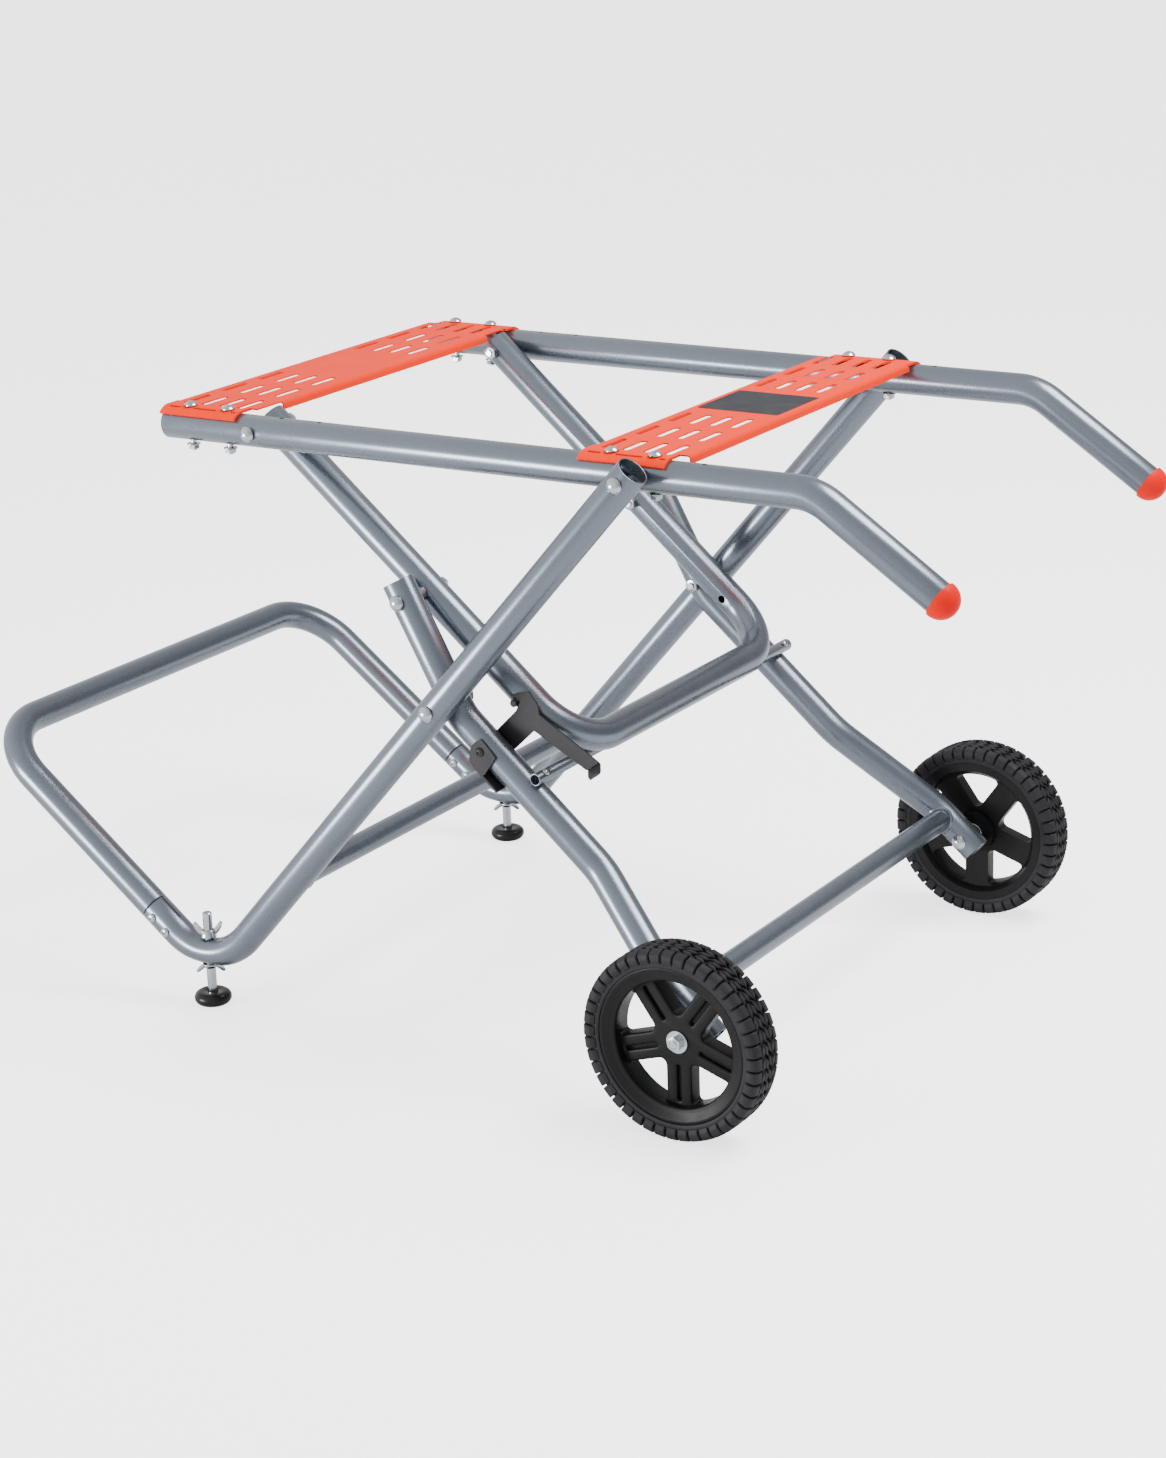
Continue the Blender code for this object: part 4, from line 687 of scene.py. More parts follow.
def frame_of(place, direction, back):
    """A matrix that stands local Z along a direction, and local Y as near as it can be to another."""
    z = direction.normalized()
    y = (back - z * back.dot(z)).normalized()
    return Matrix.Translation(place) @ Matrix((y.cross(z), y, z)).transposed().to_4x4()


def stand(item, node, material, place, direction, back=UP, degrees=30):
    """Move a piece from the origin to its place, in its mesh, and dress it."""
    hold(item)
    item.matrix_world = frame_of(place, direction, back)
    return dress(settle(), node, material, degrees)


def arc(centre, radius, start, end, steps):
    """Section points on an arc, in degrees from the outward direction."""
    turns = [math.radians(start + (end - start) * step / steps) for step in range(steps + 1)]
    return [(centre[0] + radius * math.cos(turn), centre[1] + radius * math.sin(turn)) for turn in turns]


def head_section(radius, height, steps=10):
    """A domed head from its crown to its underside, with a small straight edge."""
    rise = height * HEAD_RISE
    crown = (radius ** 2 + rise ** 2) / (2 * rise)
    reach = math.acos((crown - rise) / crown)
    turns = [reach * step / steps for step in range(steps + 1)]
    dome = [(crown * math.sin(turn), height - crown * (1 - math.cos(turn))) for turn in turns]
    return dome + [(radius, HEAD_EDGE), (radius - HEAD_EDGE, 0)]


def shank_section(radius, start, end):
    """A straight shank with a chamfered tip."""
    return [(radius, start), (radius, end + TIP), (radius - TIP_DEPTH, end), (0, end)]


# %% [markdown]
# A hexagon nut is sawn from bar and its corners are turned away, so it is the part that a hexagon and a
# cone share. A flange nut has a thin washer of its own under the hexagon.

# %% Helpers: hexagon nuts and bolts
NUT_FALL, NUT_FLAT, NUT_PLAY = 0.62, 0.96, 0.0002
FLANGE_EDGE, FLANGE_SIDE, FLANGE_SLOPE, FLANGE_DEPTH = 0.0003, 0.6, 0.0014, 1.3


def hex_nut(across_flats, seat, top):
    """A hexagon between two heights, with the corners of its ends turned away."""
    corner = across_flats / math.sqrt(3)
    nut = bar(UP * ((top + seat) / 2), UP, corner, top - seat, 6)
    fall, flat, wide = (corner - across_flats / 2) * NUT_FALL, across_flats / 2 * NUT_FLAT, corner + NUT_PLAY
    section = [(0, seat), (flat, seat), (wide, seat + fall), (wide, top - fall), (flat, top), (0, top)]
    return combine(nut, lathe(section), "INTERSECT")


def bolt(head_size, shank, grip, nut_size, tail, flange=None):
    """A domed bolt with its nut on, made about the underside of its head."""
    across_flats, nut_height = nut_size
    end = -grip - nut_height - tail
    pieces = [lathe(head_section(*head_size) + shank_section(shank, 0, end), 40)]
    if flange:
        wide, thick = flange
        side, low = -grip - thick * FLANGE_SIDE, -grip - thick * FLANGE_DEPTH
        pieces.append(lathe([(shank, -grip), (wide - NUT_PLAY, -grip), (wide, -grip - FLANGE_EDGE),
                             (wide, side), (wide - FLANGE_SLOPE, low), (shank, low)], 40, ring=True))
    pieces.append(hex_nut(across_flats, -grip - nut_height, -grip - NUT_PLAY))
    return joined(pieces)


# %% [markdown]
# The carriage bolts of the plates have small bright domes. Their flange nuts sit under the rails. At the
# loop end they hang a little low, as if nobody had tightened them yet, and the photograph shows the same.
# Each bolt is turned by another angle about its own axis, as a hand would leave it.

# %% Plate bolts
PLATE_TOP, LOOP_PLATE_X, HANDLE_PLATE_X, BOLT_PITCH = 0.6293, -0.259088, 0.237412, 0.047
M6_HEAD, M6_SHANK, M6_TAIL = (0.0068, 0.0048), 0.003, 0.0016
M6_NUT, M6_FLANGE = (0.010, 0.0055), (0.0070, 0.0014)
LOOSE_NUTS, BOLT_TURN = 0.0032, 0.7
for plate, centre, slack in (("loop_end", LOOP_PLATE_X, LOOSE_NUTS), ("handle_end", HANDLE_PLATE_X, 0.0)):
    grip = PLATE_TOP + FIT - (RAIL_PIVOT.z - TUBE_R - FIT - slack)
    master = bolt(M6_HEAD, M6_SHANK, grip, M6_NUT, M6_TAIL, M6_FLANGE)
    for side, word in SIDES.items():
        for number, way in ((1, -1), (2, 1)):
            top = Vector((centre + way * BOLT_PITCH / 2, side * RAIL_HALF, PLATE_TOP + FIT))
            turn = Matrix.Rotation(BOLT_TURN * number + side, 4, "Z")
            dress(copied(master, Matrix.Translation(top) @ turn), f"{plate}_bolt_{word}_{number}", ZINC, 30)
    discard(master)

# %% [markdown]
# Where tubes cross, an M8 bolt with a wide bright dome goes through both, head outwards and nut inwards.

# %% Pivot bolts
M8_HEAD, M8_SHANK, M8_FLATS, M8_NUT_H, M8_TAIL = (0.008, 0.006), 0.004, 0.013, 0.0065, 0.002
for name, place, outer, inner in (("rail_pivot_bolt", RAIL_PIVOT, LEG_HALF, RAIL_HALF),
                                  ("main_pivot_bolt", MAIN_PIVOT, MAIN_HALF, WHEEL_LEG_HALF),
                                  ("brace_pivot_bolt", BRACE_PIVOT, RAIL_HALF, BRACE_HALF)):
    seat, nut_seat = outer + TUBE_R + FIT, inner - TUBE_R - FIT
    for side, word in SIDES.items():
        piece = bolt(M8_HEAD, M8_SHANK, seat - nut_seat, (M8_FLATS, M8_NUT_H), M8_TAIL)
        stand(piece, f"{word}_{name}", ZINC, at(place, side * seat), ACROSS * side)

# %% [markdown]
# The pivot between wheel leg and brace has the same bolt, but the linkage is opened here, so the headed
# half rides with the wheel leg and the nut half with the brace. The headed half ends in a collar.

# %% Loose pivots
COLLAR_R, COLLAR_EDGE, SHEAR_GAP = 0.0075, 0.0003, 0.0006
seat, nut_seat, stub_top = WHEEL_LEG_HALF + TUBE_R + FIT, LOOSE_HALF - TUBE_R - FIT, LOOSE_HALF + TUBE_R
collar_seat, shear = WHEEL_LEG_HALF - TUBE_R - FIT - seat, stub_top + SHEAR_GAP - seat
for side, word in SIDES.items():
    section = head_section(*M8_HEAD) + [
        (M8_SHANK, 0), (M8_SHANK, collar_seat), (COLLAR_R - COLLAR_EDGE, collar_seat),
        (COLLAR_R, collar_seat - COLLAR_EDGE), (COLLAR_R, shear), (0, shear)]
    stand(lathe(section, 40), word + "_loose_pivot_head", ZINC, at(LOOSE_PIVOT, side * seat), ACROSS * side)
    stub = lathe([(0, stub_top)] + shank_section(M8_SHANK, stub_top, nut_seat - M8_NUT_H - M8_TAIL), 32)
    nutted = joined([stub, hex_nut(M8_FLATS, nut_seat - M8_NUT_H, nut_seat)])
    stand(nutted, word + "_loose_pivot_nut", ZINC, LOOSE_PIVOT, ACROSS * side)

# %% [markdown]
# The small screws have a hexagon socket. It is cut with a short hexagon bar.

# %% Seam screws and rod screws
SEAM_SCREW, SEAM_SCREWS_BACK = (0.005, 0.0027, 0.0025, 0.0059, 0.003), (0.0095, 0.031)
ROD_SCREW = (0.0036, 0.0026, 0.002, 0.0187, 0.0022)


def socket_screw(radius, height, shank, length, across_flats):
    screw = lathe(head_section(radius, height, 8) + shank_section(shank, 0, -length), 32)
    return cut(screw, bar(UP * height, UP, across_flats / math.sqrt(3), height, 6))


for side, word in SIDES.items():
    seam, run = seam_of(side)
    for number, back in enumerate(SEAM_SCREWS_BACK, 1):
        place = seam - run * back - ACROSS * (TUBE_R + FIT)
        stand(socket_screw(*SEAM_SCREW), f"{word}_seam_screw_{number}", ZINC, place, -ACROSS)
    place = at(ROD, side * WHEEL_LEG_HALF) + LOWER_UP * (ROD_R + FIT)
    stand(socket_screw(*ROD_SCREW), word + "_rod_screw", ZINC, place, LOWER_UP, ALONG)

# %% [markdown]
# The grip caps are moulded in red plastic: a plug inside the tube, a narrow rim and a round dome.

# %% Grip caps
CAP_R, CAP_RIM, PLUG_R, PLUG_END = 0.0181, 0.002, TUBE_R - WALL - FIT, -0.014
cap_section = [(0, CAP_RIM + CAP_R)] + arc((0, CAP_RIM), CAP_R, 84, 0, 16)
cap_section += [(CAP_R, FIT + HEAD_EDGE), (CAP_R - HEAD_EDGE, FIT), (PLUG_R, FIT), (PLUG_R, PLUG_END + 0.001),
                (PLUG_R - 0.001, PLUG_END), (0, PLUG_END)]
for side, word in SIDES.items():
    stand(lathe(cap_section, 56), word + "_grip_cap", CAP_PLASTIC, at(HANDLE_END, side * RAIL_HALF),
          HANDLE_HEADING, ACROSS, 40)

# %% [markdown]
# ## Plates
# A plate is pressed from sheet: its two long edges are folded down, and at each rail it follows the top of
# the tube. The sheet's outer skin is modelled first. A plane is extruded down at its long edges, the fold
# is bevelled, and the skin gets its thickness inwards. The apron is a strip that is spun about the rail, and
# it is left thicker, so that it lies on the tube.

# %% Plates: sheet, folds and aprons
APRON_T, SHEET_T, PLATE_W, FLANGE_HALF, FLANGE_FOOT = 0.0025, 0.0015, 0.107, 0.22209, 0.6213
FOLD_R, FOLD_STEPS, WRAP_DEGREES, WRAP_STEPS, APRON_SHORT = 0.0035, 6, 50, 12, 0.013
EDGE, PLATE_ROUND = PLATE_W / 2, 0.00035


def sheet(x0, x1, y0, y1):
    """A flat sheet at the height of the plates' top."""
    deselect()
    bpy.ops.mesh.primitive_plane_add(size=1, location=((x0 + x1) / 2, (y0 + y1) / 2, PLATE_TOP))
    bpy.context.object.scale = (x1 - x0, y1 - y0, 1)
    return settle()


def thicken(skin, thickness):
    """Give a skin its thickness, downwards from its top side."""
    top = max(skin.data.polygons, key=lambda face: face.area)
    return apply(skin, "SOLIDIFY", thickness=thickness, offset=-1 if top.normal.z > 0 else 1,
                 use_even_offset=True)


def pick_long_edges(plate):
    """Select the edges of a sheet's top that run from rail to rail."""
    def rule(edge):
        one, other = ends(plate, edge)
        return abs(one.y - other.y) > FLANGE_HALF and one.z > PLATE_TOP - NEAR
    pick(plate, "edges", rule)


def folded_sheet(centre):
    """The plate's middle with both long edges folded down."""
    plate = sheet(centre - EDGE, centre + EDGE, -FLANGE_HALF, FLANGE_HALF)
    pick_long_edges(plate)
    extrude(UP * (FLANGE_FOOT - PLATE_TOP))
    leave()
    pick_long_edges(plate)
    bpy.ops.mesh.bevel(offset=FOLD_R, offset_type="OFFSET", segments=FOLD_STEPS, profile=0.5, affect="EDGES")
    face_out()
    return thicken(plate, SHEET_T)


def apron(centre, side):
    """A strip that runs on from the plate and wraps the top of a rail."""
    far, near, rail = centre + side * EDGE, centre - side * (EDGE - APRON_SHORT), side * RAIL_HALF
    strip = sheet(min(far, near), max(far, near), *sorted((side * (FLANGE_HALF - APRON_T), rail)))
    pick(strip, "edges", lambda e: all(abs(end.y - rail) < NEAR for end in ends(strip, e)))
    bpy.ops.mesh.spin(steps=WRAP_STEPS, angle=math.radians(WRAP_DEGREES), center=(0, rail, RAIL_PIVOT.z),
                      axis=(side, 0, 0))
    face_out()
    return thicken(strip, APRON_T)


# %% [markdown]
# Everything that is punched through the plate is one set of cutters: 24 slots, three narrow reliefs beside
# the bolts at each end, and on one plate two notches that let the brace's ends pass when the stand folds.
# One slot is made from a round bar whose halves are moved apart, and then copied.

# %% Plates: punched openings
SLOT_ROWS, SLOT_R, SLOT_STRAIGHT, SLOT_SIDES = (0.0855, 0.146, 0.2065), 0.00375, 0.01625, 32
COLUMNS, COLUMN_PITCH, COLUMN_SHIFT = 4, 0.0228, -0.0045
SLOT_COLUMNS = [COLUMN_SHIFT + COLUMN_PITCH * (index - (COLUMNS - 1) / 2) for index in range(COLUMNS)]
RELIEFS, RELIEF_OUT, RELIEF_HALF = ((-0.43, -0.30), (-0.15, 0.12), (0.29, 0.35)), 0.0055, 0.0014
NOTCH_DEPTH, NOTCH_PLAY, PUNCH_BELOW, PUNCH_ABOVE = 0.0038, 0.0025, 0.02, 0.01


def slot_punch(radius, start, end, low, high, sides):
    """A round bar whose far half is moved on along Y."""
    deselect()
    bpy.ops.mesh.primitive_cylinder_add(vertices=sides, radius=radius, depth=high - low,
                                        location=(0, start, (low + high) / 2),
                                        rotation=(0, 0, math.pi / sides))
    punch = settle()
    pick(punch, "vertices", lambda v: v.co.y > start)
    bpy.ops.transform.translate(value=(0, end - start, 0))
    leave()
    return punch


def punches(centre, notched):
    low, high = PLATE_TOP - PUNCH_BELOW, PLATE_TOP + PUNCH_ABOVE
    master = slot_punch(SLOT_R, -SLOT_STRAIGHT, SLOT_STRAIGHT, low, high, SLOT_SIDES)
    tools = [copied(master, Matrix.Translation((centre + column, side * row, 0)))
             for side in SIDES for row in SLOT_ROWS for column in SLOT_COLUMNS]
    discard(master)
    for side in SIDES:
        relief = side * (RAIL_HALF + RELIEF_OUT)
        for start, end in RELIEFS:
            tools.append(block_between((centre + start * PLATE_W, relief - RELIEF_HALF, low),
                                       (centre + end * PLATE_W, relief + RELIEF_HALF, high)))
        if notched:
            near, far = BRACE_HALF - TUBE_R - NOTCH_PLAY, FLANGE_HALF + APRON_T / 2
            start, end = sorted((side * near, side * far))
            tools.append(block_between((centre + EDGE - NOTCH_DEPTH, start, low),
                                       (centre + EDGE + PUNCH_ABOVE, end, high)))
    return joined(tools)


for node, centre, notched in (("loop_end_plate", LOOP_PLATE_X, True),
                              ("handle_end_plate", HANDLE_PLATE_X, False)):
    plate = folded_sheet(centre)
    for side in SIDES:
        combine(plate, apron(centre, side), "UNION")
    cut(plate, punches(centre, notched))
    soften(merge_flat(plate), PLATE_ROUND, 2, 50)
    flatten_shading(dress(plate, node, PLATE_PAINT, 40))

# %% [markdown]
# The handle end plate carries a dark sticker between its slot rows. It is left blank here. It is a thin
# film with rounded corners, so its outline is drawn flat, its corners are rounded and it is extruded.

# %% Blank label
LABEL_HALF_X, LABEL_HALF_Y, LABEL_T, LABEL_CORNER, LABEL_GAP = 0.045, 0.043, 0.00015, 0.003, 0.00002


def flat_shape(points, corner, segments):
    """A flat face from an outline, with rounded corners."""
    item = draw(points)
    select_all()
    bpy.ops.mesh.edge_face_add()
    if corner:
        select_all()
        bpy.ops.mesh.bevel(offset=corner, segments=segments, affect="VERTICES")
    leave()
    return item


def raised(item, step):
    """A flat shape that is extruded into a solid."""
    edit("FACE")
    select_all()
    extrude(step)
    face_out()
    return item


def plate_of(points, step, corner=0.0, segments=4):
    return raised(flat_shape(points, corner, segments), step)


label_points = [Vector((HANDLE_PLATE_X + x * LABEL_HALF_X, y * LABEL_HALF_Y, PLATE_TOP + LABEL_GAP))
                for x, y in ((-1, -1), (1, -1), (1, 1), (-1, 1))]
label = plate_of(label_points, UP * LABEL_T, LABEL_CORNER, 6)
smooth(label, 30)
label.name = "blank_label"
label.data.materials.append(LABEL_FILM)
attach(label, BODY_OF["handle_end_plate"])
print(label.name, len(label.data.polygons), "faces")

# %% [markdown]
# ## Feet
# A foot is a moulded rubber pad on a zinc stud. The stud goes through the flattened tube and is clamped by
# a wing nut above and a thinner one below. The nut's body is turned, and a wing is a small plate with
# rounded corners that grows out of it. The wings stand square to the photograph's line of sight.

# %% Studs, pads and wing nuts
VIEW_YAW = math.radians(32.8)
STUD_R, STUD_LOW, STUD_TOP, STUD_TIP, STUD_TIP_H, NUT_BORE = 0.005, 0.0053, 0.101, 0.0009, 0.0008, 0.0053
WING_T, WING_HALF, WING_CORNER, WING_ROUND = 0.0028, 0.015, 0.0022, 0.0009
UPPER_NUT, LOWER_NUT = (0.008, 0.0165), (0.0045, 0.0095)
WING = ((0.40, 0.10), (0.72, 0.30), (1.0, 0.74), (1.0, 1.0), (0.80, 1.0), (0.62, 0.74), (0.36, 0.50))


def wing_nut(body, rise):
    """A wing nut on its seat at the origin."""
    section = [(NUT_BORE, body), (0.0064, body), (0.0070, body - 0.0005), (0.0083, body * 0.3),
               (0.0085, body * 0.2), (0.0085, 0.0003), (0.0082, 0), (NUT_BORE, 0)]
    pieces = [lathe(section, 40, ring=True)]
    for way in (-1, 1):
        points = [Vector((way * out * WING_HALF, -WING_T / 2, up * rise)) for out, up in WING]
        pieces.append(soften(plate_of(points, ACROSS * WING_T, WING_CORNER, 5), WING_ROUND, 3, 50))
    return flatten_shading(joined(pieces))


pad_section = [(0, 0.005), (0.0054, 0.005), (0.0054, 0.0124), (0.0060, 0.0130), (0.0118, 0.0130)]
pad_section += arc((0.0130, 0.0063), 0.0067, 90, -38, 14) + [(0.0168, 0.0006), (0.0160, 0.0001), (0, 0.0001)]
stud_section = [(0, STUD_LOW), (STUD_R, STUD_LOW), (STUD_R, STUD_TOP - STUD_TIP_H),
                (STUD_R - STUD_TIP, STUD_TOP), (0, STUD_TOP)]
wing_back = ACROSS * math.cos(VIEW_YAW) - ALONG * math.sin(VIEW_YAW)
for side, word in SIDES.items():
    floor = at(STUD, side * FOOT_HALF_STUD)
    stand(lathe(stud_section, 40), word + "_foot_stud", ZINC, floor, UP, ALONG, 40)
    stand(lathe(pad_section, 64), word + "_foot_pad", PAD_RUBBER, floor, UP, ALONG, 60)
    for name, seat, size, facing in (("upper", UPPER_SEAT, UPPER_NUT, UP),
                                     ("lower", LOWER_SEAT, LOWER_NUT, -UP)):
        stand(wing_nut(*size), f"{word}_{name}_wing_nut", ZINC, floor + UP * seat, facing, wing_back, 45)

# %% [markdown]
# ## Latch
# The foot latch is cut from 2.2 mm sheet: a plate with a horn and an arm on the inner side of the wheel
# leg, a small ear on the outer side, and a web that joins them under the tube. The arm's end is folded
# outwards for the foot. The outline's corners are rounded while it is flat, and then it is extruded.

# %% Latch lever
LATCH_T, LATCH_REACH, LATCH_RISE, LATCH_HALF, LATCH_ROUND = 0.0022, 0.0905, 0.067, 0.2214, 0.0004
EAR_GAP = 0.0006
EAR_HALF = WHEEL_LEG_HALF + TUBE_R + EAR_GAP
HOOK = ((0.19, -0.04), (0.175, 0.06), (0.215, 0.594), (0.94, 0.812), (0.985, 1.063), (0.142, 0.847),
        (0.053, 0.957), (-0.034, 0.972), (-0.107, 0.993), (-0.134, 0.961), (-0.235, 0.733),
        (-0.112, 0.775), (-0.080, 0.60), (-0.112, 0.078), (-0.125, -0.06), (-0.05, -0.17))
HOOK_TIP, HOOK_CORNER, EAR_CORNER = (3, 4), 0.0013, 0.0009
EAR = ((0.20, -0.20), (0.176, 0.143), (-0.085, 0.175), (-0.11, 0.07), (-0.118, -0.051), (-0.034, -0.246))
WEB_START, WEB_SIDE_END, WEB_END = 0.06, 0.19, 0.43
LIP_LENGTH, LIP_FLARE, LIP_CORNER, LIP_CORNERS_PAST = 0.013, math.radians(40), 0.003, 0.009
SHORT_EDGE = LATCH_T * 1.1


def latch_point(along, up, half):
    """A place on the latch from its shares along and over the lower wheel leg."""
    return at(LATCH_PIVOT + LOWER_HEADING * LATCH_REACH * along + LOWER_UP * LATCH_RISE * up, -half)


def latch_lip():
    """The foot's lip on the arm's end, with its outer corners rounded."""
    tip = [latch_point(*HOOK[index], LATCH_HALF) for index in HOOK_TIP]
    fold = (tip[1] - tip[0]).normalized().cross(ACROSS) * LATCH_T
    out = LOWER_HEADING * math.sin(LIP_FLARE) - ACROSS * math.cos(LIP_FLARE)
    lip = plate_of([tip[0], tip[1], tip[1] - fold, tip[0] - fold], out * LIP_LENGTH)

    def rule(edge):
        one, other = ends(lip, edge)
        return max(one.y, other.y) < -LATCH_HALF - LIP_CORNERS_PAST and (one - other).length < SHORT_EDGE
    pick(lip, "edges", rule)
    bpy.ops.mesh.bevel(offset=LIP_CORNER, segments=5, affect="EDGES")
    leave()
    return lip


web_top = LATCH_PIVOT - LOWER_UP * (TUBE_R + FIT)
start, side_end, end = [web_top + LOWER_HEADING * LATCH_REACH * share
                        for share in (WEB_START, WEB_SIDE_END, WEB_END)]
low = -LOWER_UP * LATCH_T
pieces = []
for outline, half, corner in ((HOOK, LATCH_HALF, HOOK_CORNER), (EAR, EAR_HALF, EAR_CORNER)):
    points = [at(start + low, -half), at(side_end + low, -half)]
    points += [latch_point(*share, half) for share in outline]
    pieces.append(plate_of(points, -ACROSS * LATCH_T, corner, 4))
under = [at(place, -LATCH_HALF) for place in (start + low, end + low, end, start)]
pieces.append(plate_of(under, -ACROSS * (EAR_HALF + LATCH_T - LATCH_HALF)))
lever = pieces[0]
for other in pieces[1:] + [latch_lip()]:
    combine(lever, other, "UNION")
soften(merge_flat(lever), LATCH_ROUND, 2, 50)
flatten_shading(dress(lever, "latch_lever", LATCH_STEEL, 45))

# %% [markdown]
# Its bolt is black with a round socket head. The catch pin is black too: it goes through the brace, a nut
# holds it against the tube, and its end passes under the horn, which hooks over it.

# %% Latch bolt and catch pin
LATCH_HEAD, LATCH_SOCKET, LATCH_SHANK, LATCH_TAIL = (0.0048, 0.0026), 0.003, 0.003, 0.0033
LATCH_NUT_AF, LATCH_NUT_H = 0.008, 0.003
PIN_HEAD, PIN_R, PIN_NUT_AF, PIN_NUT_H, PIN_OVERHANG = (0.006, 0.003), 0.0038, 0.0105, 0.0042, 0.003

seat = EAR_HALF + LATCH_T + FIT
nut_seat = -(seat - LATCH_HALF + FIT)
latch_bolt = joined([socket_screw(*LATCH_HEAD, LATCH_SHANK, LATCH_TAIL - nut_seat, LATCH_SOCKET),
                     hex_nut(LATCH_NUT_AF, nut_seat - LATCH_NUT_H, nut_seat)])
stand(latch_bolt, "latch_pivot_bolt", BLACK_BOLT, at(LATCH_PIVOT, -seat), -ACROSS)

inner_seat, outer_seat = PIN_HALF - TUBE_R - FIT, -2 * (TUBE_R + FIT)
pin_length = LATCH_HALF + LATCH_T + PIN_OVERHANG - inner_seat
pin = joined([lathe(head_section(*PIN_HEAD) + shank_section(PIN_R, 0, -pin_length), 36),
              hex_nut(PIN_NUT_AF, outer_seat - PIN_NUT_H, outer_seat)])
stand(pin, "latch_pin", BLACK_BOLT, at(LATCH_PIN, -inner_seat), ACROSS)

# %% [markdown]
# ## Wheels
# The wheel centre is moulded: a wide dished rim ring, and a web with five windows that leave five spokes.
# A spoke has two rounded ribs with a groove between them. The ring is turned. The web starts as a disc,
# the windows and grooves are cut with rounded punches, and the edges that they leave are bevelled, which
# makes the ribs. One spoke points straight down.

# %% Wheel centre
RIM_R, LIP_R, RIM_HALF, LIP_AT, WEB_TOP, WEB_LOW = 0.078, 0.0635, 0.0185, 0.014, 0.0045, -0.012
HUB_R, HUB_TOP, HUB_BACK, SPOKE_HALF, BORE, BORE_PLAY = 0.0225, -0.002, -0.0205, 0.0135, 0.0055, 0.0003
SPOKES, HALF_TURN, WINDOW_INNER_R, WINDOW_OUTER_R, WINDOW_STEPS = 5, math.radians(36), 0.0092, 0.0058, 4
GROOVE_HALF, GROOVE_START, GROOVE_END, GROOVE_LOW, GROOVE_HIGH = 0.0019, 0.0262, 0.0585, 0.0002, 0.0202
RIB_ROUND, RIB_FROM, RIB_TO, LIP_ROUND, SHARP = 0.0026, BORE + 0.002, LIP_R + 0.0006, 0.003, math.radians(60)
PUNCH_PLAY, PUNCH_HIGH, WINDOW_PAST_LIP = 0.004, 0.03, 0.001


def window_punch():
    """The opening between two spokes, round at its three corners and centred on +Y."""
    far, low = LIP_R + WINDOW_PAST_LIP, WEB_LOW - PUNCH_PLAY
    reach = HALF_TURN - math.asin(SPOKE_HALF / far)
    turns = [reach * (1 - step / WINDOW_STEPS) for step in range(2 * WINDOW_STEPS + 1)]
    points = [Vector((0, SPOKE_HALF / math.sin(HALF_TURN), low))]
    points += [Vector((far * math.sin(turn), far * math.cos(turn), low)) for turn in turns]
    punch = flat_shape(points, 0, 0)
    for place, offset in ((points[0], WINDOW_INNER_R), (points[1], WINDOW_OUTER_R),
                          (points[-1], WINDOW_OUTER_R)):
        pick(punch, "vertices", lambda v: (v.co - place).length < NEAR)
        bpy.ops.mesh.bevel(offset=offset, segments=8, affect="VERTICES")
        leave()
    return raised(punch, UP * PUNCH_HIGH)


def web():
    """The disc with its windows and grooves, and the upper edge of each rounded."""
    deselect()
    bpy.ops.mesh.primitive_circle_add(vertices=96, radius=LIP_R + LIP_ROUND, fill_type="NGON",
                                      location=(0, 0, WEB_LOW))
    disc = raised(settle(), UP * (WEB_TOP - WEB_LOW))
    window = window_punch()
    groove = slot_punch(GROOVE_HALF, GROOVE_START, GROOVE_END, GROOVE_LOW, GROOVE_HIGH, 24)
    tools = [bar((0, 0, 0), UP, BORE, 2 * PUNCH_HIGH, 64)]
    for index in range(SPOKES):
        tools.append(copied(groove, Matrix.Rotation(math.pi + 2 * HALF_TURN * index, 4, "Z")))
        tools.append(copied(window, Matrix.Rotation(2 * HALF_TURN * index, 4, "Z")))
    discard(window, groove)
    merge_flat(cut(disc, joined(tools)))
    edit("EDGE")
    select_all("DESELECT")
    bpy.ops.mesh.edges_select_sharp(sharpness=SHARP)
    leave()
    sharp = {edge.index for edge in disc.data.edges if edge.select}
    found = pick(disc, "edges", lambda e: e.index in sharp and all(
        abs(end.z - WEB_TOP) < NEAR and RIB_FROM < end.xy.length < RIB_TO for end in ends(disc, e)))
    bpy.ops.mesh.bevel(offset=RIB_ROUND, segments=4, profile=0.5, affect="EDGES", loop_slide=False)
    leave()
    print("web edges rounded:", found)
    return disc


def wheel_centre():
    """A wheel centre about the origin, its outer face towards +Z."""
    lip = arc((LIP_R + LIP_ROUND, LIP_AT - LIP_ROUND), LIP_ROUND, 180, 100, 6)
    dish = [(LIP_R + 0.006, LIP_AT + 0.0006), (RIM_R - 0.004, RIM_HALF - 0.0009)]
    edge = [(RIM_R - 0.0012, RIM_HALF - 0.0002), (RIM_R - 0.0003, RIM_HALF - 0.0006),
            (RIM_R, RIM_HALF - 0.0015)]
    inner = [(RIM_R, -RIM_HALF), (LIP_R + 0.006, -RIM_HALF), (LIP_R, -0.010)]
    ring = lathe(lip + dish + edge + inner, 96, ring=True)
    bore = BORE + BORE_PLAY
    boss = lathe([(bore, HUB_TOP), (HUB_R, HUB_TOP), (HUB_R, HUB_BACK), (bore, HUB_BACK)], 72, ring=True)
    return joined([ring, boss, web()])


# %% [markdown]
# The tyre is a turned ring that stays nearly 4 mm under the tread. The tread is made of blocks: long ones
# that run over each shoulder down the side wall, and two rows of slanted ones on each side of the middle,
# which lean opposite ways. Each kind is modelled once with few faces and copied round.

